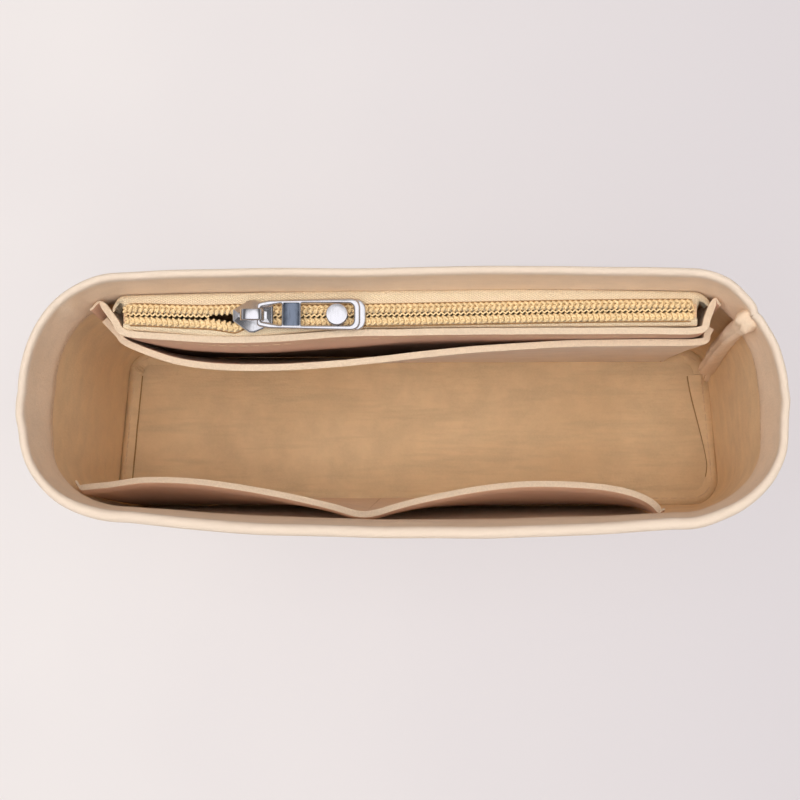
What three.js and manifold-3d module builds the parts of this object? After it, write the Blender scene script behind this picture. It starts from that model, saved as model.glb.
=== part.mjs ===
// Storage pouch: an open felt liner with a zipped back pocket, a slip pocket and two front pockets.
// Millimetres. +Z is up, +X is to the right along the length and +Y is towards the zipped back.
// The origin is under the middle of the flat base.
import * as THREE from "three";
import { mergeVertices } from "three/addons/utils/BufferGeometryUtils.js";
import Module from "manifold-3d";

const wasm = await Module();
wasm.setup();

// Felt and the clearances between sewn pieces
const height = 120;
const felt = 1.8;
const gap = 0.3;
const threadWidth = 0.6;
const threadRise = 0.25;
const threadSeat = 0.1;

// Outline of the rim, seen from above
const rimLength = 201.6;
const rimBackY = 34.2;
const rimFrontY = 31.8;
const rimBackBow = 1.2;
const rimFrontBow = 3.5;
const rimEndBow = 0.6;
const rimBackCornerLength = 25;
const rimBackCornerDepth = 31;
const rimFrontCornerLength = 29;
const rimFrontCornerDepth = 25;

// Outline of the foot, seen from above
const footBackLength = 197;
const footFrontLength = 203;
const footDepth = 55;
const footCorner = 10;

// The wall strip: its folded hem, its bottom allowance and its turned-in ends
const hemDepth = 30;
const allowance = 4.4;
const seamRidge = 4.5;
const hemStitchUp = 3;
const seamAngle = 36;
const endShelf = 0.2;
const endStep = 0.05;

// The zip
const zipDrop = 15;
const zipY = 24.6;
const zipFrontY = 19.3;
const chainInLeft = 24.6;
const chainInRight = 21.2;
const pitch = 1.5;
const coilWidth = 2.3;
const coilHeight = 1.5;
const coilSplit = 1;
const toothDepth = 0.6;
const tape = 0.6;
const tapeLeg = 8;
const tackLength = 1;

// The pocket behind the zip, and the slip pocket in front of it
const zipBendInLeft = 24.8;
const zipBendInRight = 21;
const zipBulge = 2.4;
const zipBulgeAt = -46;
const zipBulgeReach = 22;
const zipSideRunLeft = 8.2;
const zipSideRunRight = 4;
const zipFlangeLeft = 3.2;
const zipFlangeRight = 1.6;
const slipDrop = 23;
const slipBow = 7.9;
const slipBowSkew = 0.45;

// The two front pockets, one strip pinched to the wall between them
const pocketDrop = 32;
const pocketInLeft = 11.8;
const pocketMiddle = -11.5;
const pocketInRight = 30.8;
const pocketLeftBulge = 8.6;
const pocketRightBulge = 8.8;
const pocketSkew = 0.68;
const pocketFlange = 3.2;

// The slider and its pull; the nose is the rounded end on the left
const noseX = -45.7;
const sliderLength = 11;
const sliderHalfWidth = 4.6;
const sliderWidestAt = 5.2;
const sliderFlat = 2;
const noseHalfWidth = 1.5;
const heelHalfWidth = 2.6;
const plate = 1;
const lowerPlate = 0.9;
const lowerHalfWidth = 2.5;
const lowerTaper = 0.8;
const postWidth = 0.4;
const postLength = 2.4;
const railWidth = 0.9;
const railLength = 3.4;
const capStart = 2.1;
const capLength = 6.6;
const capWidth = 3.3;
const capWall = 0.75;
const spring = 0.25;
const pivotFromNose = 7.3;
const pivotRise = 1.2;
const barRadius = 0.5;
const pull = 1.4;
const pullLength = 28.9;
const pullNearHalfWidth = 3.1;
const pullHalfWidth = 4.4;
const pullShoulderHalfWidth = 3.8;
const pullEndRound = 3.4;
const pullRail = 1.4;
const pullNearRail = 1;
const pullEyeLength = 6.2;
const pullPanelLength = 5.3;
const pullEndRail = 3.2;
const pullTilt = 2.6;
const studAt = 21.1;
const studRadius = 2.95;
const studHead = 0.3;

// Levels and places that follow from the sizes above
const flangeTop = 2 * felt + gap;
const threadStand = threadSeat + threadRise + gap;
const panelFoot = flangeTop + threadStand;
const chainLeft = chainInLeft - rimLength / 2;
const chainRight = rimLength / 2 - chainInRight;
const zipBendLeft = zipBendInLeft - rimLength / 2;
const zipBendRight = rimLength / 2 - zipBendInRight;
const pocketLeft = pocketInLeft - rimLength / 2;
const pocketRight = rimLength / 2 - pocketInRight;
const zipLevel = height - zipDrop;
const slipTop = height - slipDrop;
const pocketTop = height - pocketDrop;
const hemFoot = height - hemDepth;
const chainMiddle = coilSplit / 2;
const chainEdge = chainMiddle + coilWidth;
const seamAt = seamAngle / 90;

// How finely the curves are divided
const cornerSteps = 8;
const sideSteps = 14;
const endSteps = 3;
const slantSteps = 3;
const flangeSteps = 2;
const slipInset = flangeSteps + 1;
const hemSteps = 6;
const sliderCurveSteps = 4;
const pullCurveSteps = 6;
const barSides = 12;
const studSides = 20;
const seamClear = 2 / cornerSteps;
const seamSpare = seamClear / 4;
const mitreLimit = 1.4;
const weld = 1e-4;

const lerp = THREE.MathUtils.lerp;
const clamp = THREE.MathUtils.clamp;
const toRadians = THREE.MathUtils.degToRad;

// Half of the outline at one height; back is true for the zipped side.
function outlineSide(back, z) {
  const up = z / height;
  const rimCornerLength = back ? rimBackCornerLength : rimFrontCornerLength;
  const rimCornerDepth = back ? rimBackCornerDepth : rimFrontCornerDepth;
  const half = lerp((back ? footBackLength : footFrontLength) / 2, rimLength / 2 - rimEndBow, up);
  const edge = lerp(footDepth / 2, back ? rimBackY : rimFrontY, up);
  const rx = lerp(footCorner, rimCornerLength, up);
  const ry = lerp(footCorner, rimCornerDepth, up);
  const bow = (back ? rimBackBow : rimFrontBow) * up;
  return { edge, rx, ry, cx: half - rx, cy: edge - ry, bow };
}

// A point of the outline's corner in one quarter, f of the way round it.
function corner(quarter, f, z) {
  const back = quarter < 2;
  const side = outlineSide(back, z);
  const angle = ((quarter + f) * Math.PI) / 2;
  const c = Math.cos(angle);
  const n = Math.sin(angle);
  const cx = quarter === 0 || quarter === 3 ? side.cx : -side.cx;
  const cy = back ? side.cy : -side.cy;
  const point = new THREE.Vector2(cx + side.rx * c, cy + side.ry * n);
  return { point, normal: new THREE.Vector2(c / side.rx, n / side.ry).normalize() };
}

// The wall's outer face. s counts corners (even) and sides (odd) from the right, anticlockwise.
function outline(s, z) {
  const part = Math.floor(s) % 8;
  const f = s - Math.floor(s);
  if (part % 2 === 0) return corner(part / 2, f, z);
  const quarter = (part - 1) / 2;
  const from = corner(quarter, 1, z).point;
  const to = corner((quarter + 1) % 4, 0, z).point;
  const turn = ((quarter + 1) * Math.PI) / 2;
  const normal = new THREE.Vector2(Math.cos(turn), Math.sin(turn));
  const onEnd = quarter % 2 === 1;
  const bow = onEnd ? (rimEndBow * z) / height : outlineSide(quarter === 0, z).bow;
  const point = from.lerp(to, f).addScaledVector(normal, bow * 4 * f * (1 - f));
  return { point, normal };
}

// Y of the face that lies a given depth inside the wall's outer face, at a given X.
function wallY(back, x, z, depth) {
  const side = outlineSide(back, z);
  const beyond = Math.abs(x) - side.cx;
  const bow = side.bow * (1 - (x / side.cx) ** 2);
  const share = Math.min(beyond / (side.rx - depth), 1);
  const bend = side.cy + (side.ry - depth) * Math.sqrt(1 - share * share);
  const y = beyond <= 0 ? side.edge + bow - depth : bend;
  return back ? y : -y;
}

function wallThickness(z) {
  return z > hemFoot - felt / 2 ? 2 * felt : felt;
}

// Heights at which upright pieces have a row of points, from a foot to a top.
function levelsTo(top, foot = panelFoot) {
  const shared = [hemFoot / 3, (2 * hemFoot) / 3, hemFoot - felt, hemFoot, slipTop];
  return [foot, ...shared.filter((z) => z > foot && z < top), top];
}

// Makes a closed body's faces point outwards.
function outwards(geometry) {
  const p = geometry.getAttribute("position");
  const index = Array.from(geometry.index.array);
  const a = new THREE.Vector3();
  const b = new THREE.Vector3();
  const c = new THREE.Vector3();
  let volume = 0;
  for (let i = 0; i < index.length; i += 3) {
    a.fromBufferAttribute(p, index[i]);
    b.fromBufferAttribute(p, index[i + 1]);
    c.fromBufferAttribute(p, index[i + 2]);
    volume += a.dot(b.cross(c));
  }
  if (volume < 0) index.reverse();
  geometry.setIndex(index);
  return geometry;
}

// A closed body that joins equal loops of points one after another.
// The contour is the flat shape of its end loops, and from the loop's point number turn on
// the quads between two loops are split along their other diagonal.
function sweep(loops, contour, turn = Infinity) {
  const count = loops[0].length;
  const points = loops.flat();
  const faces = [];
  for (let i = 0; i < loops.length - 1; i++) {
    const here = i * count;
    const next = here + count;
    for (let j = 0; j < count; j++) {
      const k = (j + 1) % count;
      if (j < turn) faces.push(here + j, here + k, next + k, here + j, next + k, next + j);
      else faces.push(here + j, here + k, next + j, here + k, next + k, next + j);
    }
  }
  const turned = THREE.ShapeUtils.area(contour) < 0;
  const end = (loops.length - 1) * count;
  for (const [a, b, c] of THREE.ShapeUtils.triangulateShape(contour, [])) {
    const [p, q] = turned ? [c, b] : [b, c];
    faces.push(a, q, p, end + a, end + p, end + q);
  }
  const geometry = new THREE.BufferGeometry().setFromPoints(points);
  geometry.setIndex(faces);
  return outwards(geometry);
}

function solid(geometry) {
  const bare = geometry.clone();
  for (const name of ["normal", "uv"]) bare.deleteAttribute(name);
  const merged = mergeVertices(bare, weld);
  return new wasm.Manifold(
    new wasm.Mesh({
      numProp: 3,
      vertProperties: merged.attributes.position.array,
      triVerts: new Uint32Array(merged.index.array),
    }),
  );
}

function geometryOf(body) {
  const mesh = body.getMesh();
  const geometry = new THREE.BufferGeometry();
  geometry.setAttribute("position", new THREE.BufferAttribute(mesh.vertProperties, 3));
  geometry.setIndex(new THREE.BufferAttribute(mesh.triVerts, 1));
  return geometry;
}

function block(x0, x1, y0, y1, z0, z1) {
  const box = new THREE.BoxGeometry(x1 - x0, y1 - y0, z1 - z0);
  return box.translate((x0 + x1) / 2, (y0 + y1) / 2, (z0 + z1) / 2);
}

function plan(points) {
  return new THREE.Shape(points.map(([x, y]) => new THREE.Vector2(x, y)));
}

function plateOf(shape, z0, z1) {
  const options = { depth: z1 - z0, bevelEnabled: false, curveSegments: pullCurveSteps };
  return new THREE.ExtrudeGeometry(shape, options).translate(0, 0, z0);
}

const materials = {
  felt: new THREE.MeshStandardMaterial({ color: 0xd9b48c, roughness: 0.95, metalness: 0 }),
  base: new THREE.MeshStandardMaterial({ color: 0xcda87f, roughness: 0.95, metalness: 0 }),
  pocket: new THREE.MeshStandardMaterial({ color: 0xe0bd97, roughness: 0.95, metalness: 0 }),
  tape: new THREE.MeshStandardMaterial({ color: 0xe8cb9c, roughness: 0.8, metalness: 0 }),
  coil: new THREE.MeshStandardMaterial({ color: 0xe2c08a, roughness: 0.5, metalness: 0 }),
  thread: new THREE.MeshStandardMaterial({ color: 0xcfa574, roughness: 0.7, metalness: 0 }),
  metal: new THREE.MeshStandardMaterial({ color: 0xdedde0, roughness: 0.15, metalness: 1 }),
};

const pouch = new THREE.Group();

function piece(name, geometry, material, parent = pouch) {
  const mesh = new THREE.Mesh(geometry, material);
  mesh.name = name;
  parent.add(mesh);
  return mesh;
}

// Stations along the wall from just past the closing seam, all the way round, to just before it.
function wallStations() {
  const stops = [];
  for (let part = 0; part <= 8; part++) {
    const steps = part % 2 === 0 ? cornerSteps : part === 1 || part === 5 ? sideSteps : endSteps;
    for (let i = 0; i < steps; i++) stops.push(part + i / steps);
  }
  const first = seamAt + seamClear;
  const last = 8 + seamAt - seamClear;
  return [first, ...stops.filter((s) => s > first + seamSpare && s < last - seamSpare), last];
}

// The strip of felt round the pouch, its hem folded in and its ends turned in side by side.
function wallBand() {
  const profile = (shelf, foot) => {
    const list = [
      [0, foot],
      [0, hemFoot / 3],
      [0, (2 * hemFoot) / 3],
      [0, hemFoot],
      [0, height - felt],
    ];
    for (let i = 1; i < hemSteps; i++) {
      const angle = (Math.PI * i) / hemSteps;
      list.push([felt - felt * Math.cos(angle), height - felt + felt * Math.sin(angle)]);
    }
    list.push([2 * felt, height - felt]);
    list.push([2 * felt, hemFoot]);
    list.push([felt, hemFoot - felt / 2]);
    list.push([felt, (2 * hemFoot) / 3]);
    list.push([felt, hemFoot / 3]);
    list.push([felt, flangeTop]);
    list.push([felt + shelf, flangeTop]);
    list.push([felt + shelf, felt + gap]);
    list.push([felt, felt + gap]);
    list.push([felt, foot]);
    return list;
  };
  const raised = felt + gap - endStep;
  const loop = (list, place) =>
    list.map(([inset, z]) => {
      const at = place(z);
      return new THREE.Vector3(at.point.x + at.into.x * inset, at.point.y + at.into.y * inset, z);
    });
  // One turned-in end; side is 1 for the end that faces the back and -1 for the other.
  const end = (side) => {
    const seam = (z) => {
      const { point, normal } = outline(seamAt, z);
      const along = new THREE.Vector2(-normal.y, normal.x).multiplyScalar(side);
      return { point: point.clone().addScaledVector(along, gap / 2), normal, along };
    };
    const mitre = (z) => {
      const { point, normal, along } = seam(z);
      return { point, into: along.clone().sub(normal) };
    };
    const ridge = (depth) => (z) => {
      const { point, normal, along } = seam(z);
      return { point: point.addScaledVector(normal, -depth(z)), into: along };
    };
    const root = ridge((z) => wallThickness(z) + endShelf);
    const tip = ridge(() => 2 * felt + seamRidge);
    const lifted = profile(endShelf, raised);
    return [loop(lifted, tip), loop(lifted, root), loop(profile(endShelf, 0), mitre)];
  };
  const around = wallStations().map((s) =>
    loop(profile(allowance, 0), (z) => {
      const { point, normal } = outline(s, z);
      return { point, into: normal.negate() };
    }),
  );
  const loops = [...end(1), ...around, ...end(-1).reverse()];
  const contour = profile(endShelf, raised).map(([inset, z]) => new THREE.Vector2(inset, z));
  return sweep(loops, contour);
}

function basePanel() {
  const points = [];
  for (let part = 0; part < 8; part++) {
    const steps = part % 2 === 0 ? cornerSteps : 1;
    for (let i = 0; i < steps; i++) {
      const { point, normal } = outline(part + i / steps, 0);
      points.push(point.addScaledVector(normal, -felt - gap));
    }
  }
  return plateOf(new THREE.Shape(points), 0, felt);
}

// Shifts a path seen from above to its left by a distance, with mitred corners.
function shifted(path, distance) {
  return path.map((p, i) => {
    const before = path[Math.max(i - 1, 0)];
    const after = path[Math.min(i + 1, path.length - 1)];
    const a = i === 0 ? after.clone().sub(p) : p.clone().sub(before);
    const b = i === path.length - 1 ? a.clone() : after.clone().sub(p);
    a.normalize();
    b.normalize();
    const mid = a.clone().add(b).normalize();
    const reach = distance * Math.min(1 / mid.dot(a), mitreLimit);
    return new THREE.Vector2(p.x - mid.y * reach, p.y + mid.x * reach);
  });
}

// An upright felt panel; pathAt gives the path, at a height, of the face a given depth into the felt.
function panel(pathAt, top) {
  const levels = levelsTo(top);
  const near = levels.map((z) => pathAt(z, 0));
  const far = levels.map((z) => pathAt(z, felt));
  const loops = near[0].map((_, i) => [
    ...levels.map((z, k) => new THREE.Vector3(near[k][i].x, near[k][i].y, z)),
    ...levels.map((z, k) => new THREE.Vector3(far[k][i].x, far[k][i].y, z)).reverse(),
  ]);
  const contour = [
    ...levels.map((z) => new THREE.Vector2(0, z)),
    ...levels.map((z) => new THREE.Vector2(felt, z)).reverse(),
  ];
  return sweep(loops, contour, levels.length);
}

// How far the zip pocket has opened at a height, from shut at its foot to full at the zip.
function zipOpening(z) {
  return clamp((z - panelFoot) / (zipLevel - panelFoot), 0, 1);
}

// How far the zip panel bulges forward where the slider spreads the zip.
function bulge(x, z) {
  return zipBulge * zipOpening(z) * Math.exp(-(((x - zipBulgeAt) / zipBulgeReach) ** 2));
}

// Y of the zip panel's front, a depth in from the side that faces the wall.
function zipFront(x, z, depth) {
  const flat = lerp(wallY(true, x, panelFoot, felt + threadStand), zipFrontY + felt, zipOpening(z));
  return flat - bulge(x, z) - depth;
}

// The zip panel from above: flange, slanted side, straight front, slanted side, flange.
function zipPath(z, depth) {
  const onWall = (x) => wallY(true, x, z, wallThickness(z) + threadStand + depth);
  const corner = (bend, run) => {
    const rise = wallY(true, bend, z, wallThickness(z) + threadStand) - zipFront(bend, z, 0);
    return depth * Math.tan(Math.atan2(rise, run) / 2);
  };
  const bendLeft = zipBendLeft - corner(zipBendLeft, zipSideRunLeft);
  const bendRight = zipBendRight + corner(zipBendRight, zipSideRunRight);
  const left = bendLeft - zipSideRunLeft;
  const right = bendRight + zipSideRunRight;
  const path = [2, 1, 0]
    .map((i) => left - (zipFlangeLeft * i) / flangeSteps)
    .map((x) => [x, onWall(x)]);
  for (let i = 1; i < slantSteps; i++) {
    const f = i / slantSteps;
    path.push([lerp(left, bendLeft, f), lerp(onWall(left), zipFront(zipBendLeft, z, depth), f)]);
  }
  for (let i = 0; i <= sideSteps; i++) {
    const x = lerp(zipBendLeft, zipBendRight, i / sideSteps);
    path.push([lerp(bendLeft, bendRight, i / sideSteps), zipFront(x, z, depth)]);
  }
  for (let i = 1; i < slantSteps; i++) {
    const f = i / slantSteps;
    path.push([lerp(bendRight, right, f), lerp(zipFront(zipBendRight, z, depth), onWall(right), f)]);
  }
  path.push(
    ...[0, 1, 2].map((i) => right + (zipFlangeRight * i) / flangeSteps).map((x) => [x, onWall(x)]),
  );
  return path.map(([x, y]) => new THREE.Vector2(x, y));
}

// The slip pocket's panel lies on the zip panel and bows away from it towards its left.
// Its ends are sewn to the zip panel's slanted sides.
function slipPath(z, depth) {
  const open = clamp((z - panelFoot) / (slipTop - panelFoot), 0, 1);
  const path = zipPath(z, felt + gap + depth).slice(slipInset, -slipInset);
  return path.map((p) => {
    const f = clamp((p.x - zipBendLeft) / (zipBendRight - zipBendLeft), 0, 1);
    const swell = Math.sin(Math.PI * f ** slipBowSkew);
    const bow = Math.max(slipBow * open * swell ** 2 - bulge(p.x, z), 0);
    return new THREE.Vector2(p.x, p.y - bow);
  });
}

// The front pockets' strip from left to right, pinched to the wall between the two.
function pocketPath(z, depth) {
  const open = clamp((z - panelFoot) / (pocketTop - panelFoot), 0, 1);
  const path = [
    [pocketLeft - pocketFlange, 0],
    [pocketLeft - pocketFlange / 2, 0],
  ];
  for (let i = 0; i <= sideSteps; i++) {
    const f = i / sideSteps;
    path.push([lerp(pocketLeft, pocketMiddle, f), pocketLeftBulge * Math.sin(Math.PI * f ** pocketSkew)]);
  }
  for (let i = 1; i <= sideSteps; i++) {
    const f = 1 - i / sideSteps;
    path.push([lerp(pocketRight, pocketMiddle, f), pocketRightBulge * Math.sin(Math.PI * f ** pocketSkew)]);
  }
  path.push([pocketRight + pocketFlange / 2, 0]);
  path.push([pocketRight + pocketFlange, 0]);
  const seated = path.map(([x, out]) => {
    const y = wallY(false, x, z, wallThickness(z) + threadStand);
    return new THREE.Vector2(x, y + out * open);
  });
  return shifted(seated, depth);
}

// A flat line of thread seated on a face.
// Each stop has its place and the directions across the thread and out of the face.
function thread(stops) {
  const loops = stops.map(({ at, across, out }) => {
    const corner = (w, h) => at.clone().addScaledVector(across, w).addScaledVector(out, h);
    return [
      corner(-threadWidth / 2, threadSeat),
      corner(threadWidth / 2, threadSeat),
      corner(threadWidth / 4, threadSeat + threadRise),
      corner(-threadWidth / 4, threadSeat + threadRise),
    ];
  });
  const contour = [
    new THREE.Vector2(-2, 0),
    new THREE.Vector2(2, 0),
    new THREE.Vector2(1, 1),
    new THREE.Vector2(-1, 1),
  ];
  return sweep(loops, contour);
}

const upward = new THREE.Vector3(0, 0, 1);

// The hem's two threads run level round the wall, one on each face.
function hemThread(inside) {
  const z = hemFoot + hemStitchUp;
  const stops = wallStations().map((s) => {
    const { point, normal } = outline(s, z);
    const depth = inside ? 2 * felt : 0;
    const out = new THREE.Vector3(normal.x, normal.y, 0).multiplyScalar(inside ? -1 : 1);
    const at = new THREE.Vector3(point.x - normal.x * depth, point.y - normal.y * depth, z);
    return { at, across: upward, out };
  });
  return thread(stops);
}

// The foot seam's thread lies on the turned-in bottom allowance.
function footThread() {
  const stops = wallStations().map((s) => {
    const { point, normal } = outline(s, flangeTop);
    const inset = felt + allowance / 2;
    const at = new THREE.Vector3(point.x - normal.x * inset, point.y - normal.y * inset, flangeTop);
    return { at, across: new THREE.Vector3(normal.x, normal.y, 0), out: upward };
  });
  return thread(stops);
}

// The closing seam's thread runs down the front face of the two turned-in ends.
function closingThread() {
  const stop = (z, depth) => {
    const { point, normal } = outline(seamAt, z);
    const along = new THREE.Vector2(normal.y, -normal.x);
    const inset = 2 * felt + seamRidge / 2;
    const at = point.addScaledVector(normal, -inset).addScaledVector(along, gap / 2 + depth);
    return {
      at: new THREE.Vector3(at.x, at.y, z),
      across: new THREE.Vector3(normal.x, normal.y, 0),
      out: new THREE.Vector3(along.x, along.y, 0),
    };
  };
  return thread(levelsTo(height - 2 * felt, panelFoot + felt).map((z) => stop(z, wallThickness(z))));
}

// An upright thread on a panel's far face, at one stop of its path.
function uprightThread(pathAt, index, top) {
  const stops = levelsTo(top - felt, panelFoot + felt).map((z) => {
    const far = pathAt(z, felt);
    const step = far[index + 1].clone().sub(far[index - 1]).normalize();
    const across = new THREE.Vector3(step.x, step.y, 0);
    const out = new THREE.Vector3(-step.y, step.x, 0);
    if (out.y * (far[index].y - pathAt(z, 0)[index].y) < 0) out.negate();
    return { at: new THREE.Vector3(far[index].x, far[index].y, z), across, out };
  });
  return thread(stops);
}

// Half of the zip's coil: a bar with a tooth for each turn along its inner edge.
function coil(side) {
  const teeth = Math.floor((chainRight - chainLeft) / pitch);
  const points = [
    [chainLeft + teeth * pitch, zipY + side * chainEdge],
    [chainLeft, zipY + side * chainEdge],
  ];
  for (let i = 0; i < teeth; i++) {
    const x = chainLeft + i * pitch;
    points.push([x, zipY + side * (chainMiddle + toothDepth)]);
    points.push([x + pitch / 2, zipY + side * chainMiddle]);
  }
  points.push([chainLeft + teeth * pitch, zipY + side * (chainMiddle + toothDepth)]);
  return plateOf(plan(points), zipLevel, zipLevel + coilHeight);
}

// Half of the zip's tape: a leg sewn flat on the felt behind it and a shelf that carries the coil.
function zipTape(side) {
  const clear = side * chainMiddle;
  const feltFace = (x, z) => {
    if (side > 0) return wallY(true, x, z, 2 * felt + gap);
    return zipFront(x, z, -gap);
  };
  const loops = [];
  for (let i = 0; i <= sideSteps; i++) {
    const x = lerp(chainLeft, chainRight, i / sideSteps);
    const high = feltFace(x, zipLevel);
    const low = feltFace(x, zipLevel - tapeLeg);
    loops.push([
      new THREE.Vector3(x, low, zipLevel - tapeLeg),
      new THREE.Vector3(x, high, zipLevel),
      new THREE.Vector3(x, zipY + clear, zipLevel),
      new THREE.Vector3(x, zipY + clear, zipLevel - tape),
      new THREE.Vector3(x, high - side * tape, zipLevel - tape),
      new THREE.Vector3(x, low - side * tape, zipLevel - tapeLeg),
    ]);
  }
  const contour = loops[0].map((p) => new THREE.Vector2(p.y, p.z));
  return sweep(loops, contour);
}

// The tape's thread: inside the pocket for the back tape, on the panel's face for the front one.
function tapeThread(side) {
  const z = zipLevel - tapeLeg / 2;
  const onTape = [];
  for (let i = 1; i < sideSteps; i++) {
    const x = lerp(chainLeft, chainRight, i / sideSteps);
    onTape.push(new THREE.Vector2(x, wallY(true, x, z, 2 * felt + gap + tape)));
  }
  const beforeFront = slipInset + slantSteps;
  const onPanel = zipPath(z, felt).slice(beforeFront, -beforeFront);
  const out = new THREE.Vector3(0, -1, 0);
  const line = side > 0 ? onTape : onPanel;
  return thread(line.map(({ x, y }) => ({ at: new THREE.Vector3(x, y, z), across: upward, out })));
}

// Thread bound over the cut end of the chain.
function zipTack(x) {
  const half = chainEdge + gap;
  const crown = zipLevel + coilHeight + threadSeat;
  const arch = plan([
    [-half - threadWidth, zipLevel + threadSeat],
    [-half, zipLevel + threadSeat],
    [-half, crown],
    [half, crown],
    [half, zipLevel + threadSeat],
    [half + threadWidth, zipLevel + threadSeat],
    [half + threadWidth, crown + threadRise],
    [-half - threadWidth, crown + threadRise],
  ]);
  const body = new THREE.ExtrudeGeometry(arch, { depth: tackLength, bevelEnabled: false });
  return body.rotateX(Math.PI / 2).rotateZ(Math.PI / 2).translate(x, zipY, 0);
}

// Slider, in its own frame: x from the nose, z from the top of the tape.
function sliderBody() {
  const under = coilHeight + gap;
  const outlineOf = (half, share) => [
    [0, noseHalfWidth * share],
    [0, -noseHalfWidth * share],
    [sliderWidestAt - sliderFlat / 2, -half],
    [sliderWidestAt + sliderFlat / 2, -half],
    [sliderLength, -heelHalfWidth * share],
    [sliderLength, heelHalfWidth * share],
    [sliderWidestAt + sliderFlat / 2, half],
    [sliderWidestAt - sliderFlat / 2, half],
  ];
  const top = solid(plateOf(plan(outlineOf(sliderHalfWidth, 1)), under, under + plate));
  const floor = -tape - gap;
  const bottom = solid(plateOf(plan(outlineOf(lowerHalfWidth, lowerTaper)), floor - lowerPlate, floor));
  const post = solid(
    block(gap, gap + postLength, -postWidth / 2, postWidth / 2, floor - lowerPlate / 2, under + plate / 2),
  );
  let body = top.add(bottom).add(post);
  for (const side of [-1, 1]) {
    const inner = chainEdge + gap;
    const y = [side * inner, side * (inner + railWidth)].sort((a, b) => a - b);
    const start = sliderWidestAt - railLength / 2;
    body = body.add(solid(block(start, start + railLength, y[0], y[1], gap, under + plate / 2)));
  }
  return geometryOf(body);
}

const plateTop = coilHeight + gap + plate;
const springLow = plateTop + pivotRise + barRadius + gap / 2;
const capUnder = springLow + spring + gap / 2;

// The cap over the plate, open underneath, that traps the pull's bar.
function sliderCap() {
  const side = new THREE.Shape();
  const end = capStart + capLength;
  const top = capUnder + capWall;
  side.moveTo(capStart, plateTop);
  side.lineTo(capStart + capWall, plateTop);
  side.lineTo(capStart + capWall, capUnder);
  side.lineTo(end - capWall, capUnder);
  side.lineTo(end - capWall, plateTop);
  side.lineTo(end, plateTop);
  side.lineTo(end, top - capWall);
  side.quadraticCurveTo(end, top, end - capWall, top);
  side.lineTo(capStart + capWall, top);
  side.quadraticCurveTo(capStart, top, capStart, top - capWall);
  const options = { depth: capWidth, bevelEnabled: false, curveSegments: sliderCurveSteps };
  const body = new THREE.ExtrudeGeometry(side, options);
  return body.rotateX(Math.PI / 2).translate(0, capWidth / 2, 0);
}

// The leaf under the cap, with its end turned down as the lock's pawl.
function lockSpring() {
  const start = capStart + capWall + gap;
  const end = capStart + capLength - capWall - gap;
  const width = capWidth / 2;
  const leaf = solid(block(start, end, -width / 2, width / 2, springLow, springLow + spring));
  const tip = start + 2 * spring;
  const pawl = solid(block(start, tip, -width / 2, width / 2, plateTop + gap, springLow + spring / 2));
  return geometryOf(leaf.add(pawl));
}

// Pull, in its own frame: x from the pivot, z from the middle of its thickness.
function pullTab() {
  const far = pullLength - pullEndRound;
  const shape = new THREE.Shape();
  shape.moveTo(-barRadius, -pullNearHalfWidth);
  shape.lineTo(pullEyeLength / 2, -pullShoulderHalfWidth);
  shape.lineTo(far, -pullHalfWidth);
  shape.quadraticCurveTo(pullLength, -pullHalfWidth, pullLength, -pullHalfWidth + pullEndRound);
  shape.lineTo(pullLength, pullHalfWidth - pullEndRound);
  shape.quadraticCurveTo(pullLength, pullHalfWidth, far, pullHalfWidth);
  shape.lineTo(pullEyeLength / 2, pullShoulderHalfWidth);
  shape.lineTo(-barRadius, pullNearHalfWidth);
  const nearInner = pullNearHalfWidth - pullNearRail;
  const inner = pullHalfWidth - pullRail;
  const eye = [
    [-2 * barRadius, -nearInner],
    [pullEyeLength, -inner],
    [pullEyeLength, inner],
    [-2 * barRadius, nearInner],
  ];
  const windowStart = pullEyeLength + pullPanelLength;
  const windowEnd = pullLength - pullEndRail;
  const hole = [
    [windowStart, -inner],
    [windowEnd - inner / 2, -inner],
    [windowEnd, -inner / 2],
    [windowEnd, inner / 2],
    [windowEnd - inner / 2, inner],
    [windowStart, inner],
  ];
  const frame = solid(plateOf(shape, -pull / 2, pull / 2));
  const cuts = [eye, hole].map((points) => solid(plateOf(plan(points), -pull, pull)));
  const barLength = 2 * pullNearHalfWidth - pullRail;
  const bar = solid(new THREE.CylinderGeometry(barRadius, barRadius, barLength, barSides));
  return geometryOf(frame.subtract(cuts[0]).subtract(cuts[1]).add(bar));
}

// The plain round stud across the pull's window: a head on each face and a shank between.
function pullStud() {
  const shank = pullHalfWidth - pullRail - gap;
  const face = pull / 2 + gap / 2;
  const profile = [
    [0, -face - studHead],
    [studRadius - studHead, -face - studHead],
    [studRadius, -face],
    [shank, -face],
    [shank, face],
    [studRadius, face],
    [studRadius - studHead, face + studHead],
    [0, face + studHead],
  ];
  const points = profile.map(([r, z]) => new THREE.Vector2(r, z));
  return new THREE.LatheGeometry(points, studSides).rotateX(Math.PI / 2).translate(studAt, 0, 0);
}

piece("wall_band", wallBand(), materials.felt);
piece("base_panel", basePanel(), materials.base);
piece("zip_pocket_panel", panel(zipPath, zipLevel), materials.pocket);
piece("slip_pocket_panel", panel(slipPath, slipTop), materials.pocket);
piece("front_pocket_panel", panel(pocketPath, pocketTop), materials.pocket);

piece("hem_thread_outer", hemThread(false), materials.thread);
piece("hem_thread_inner", hemThread(true), materials.thread);
piece("foot_seam_thread", footThread(), materials.thread);
piece("closing_seam_thread", closingThread(), materials.thread);

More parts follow.
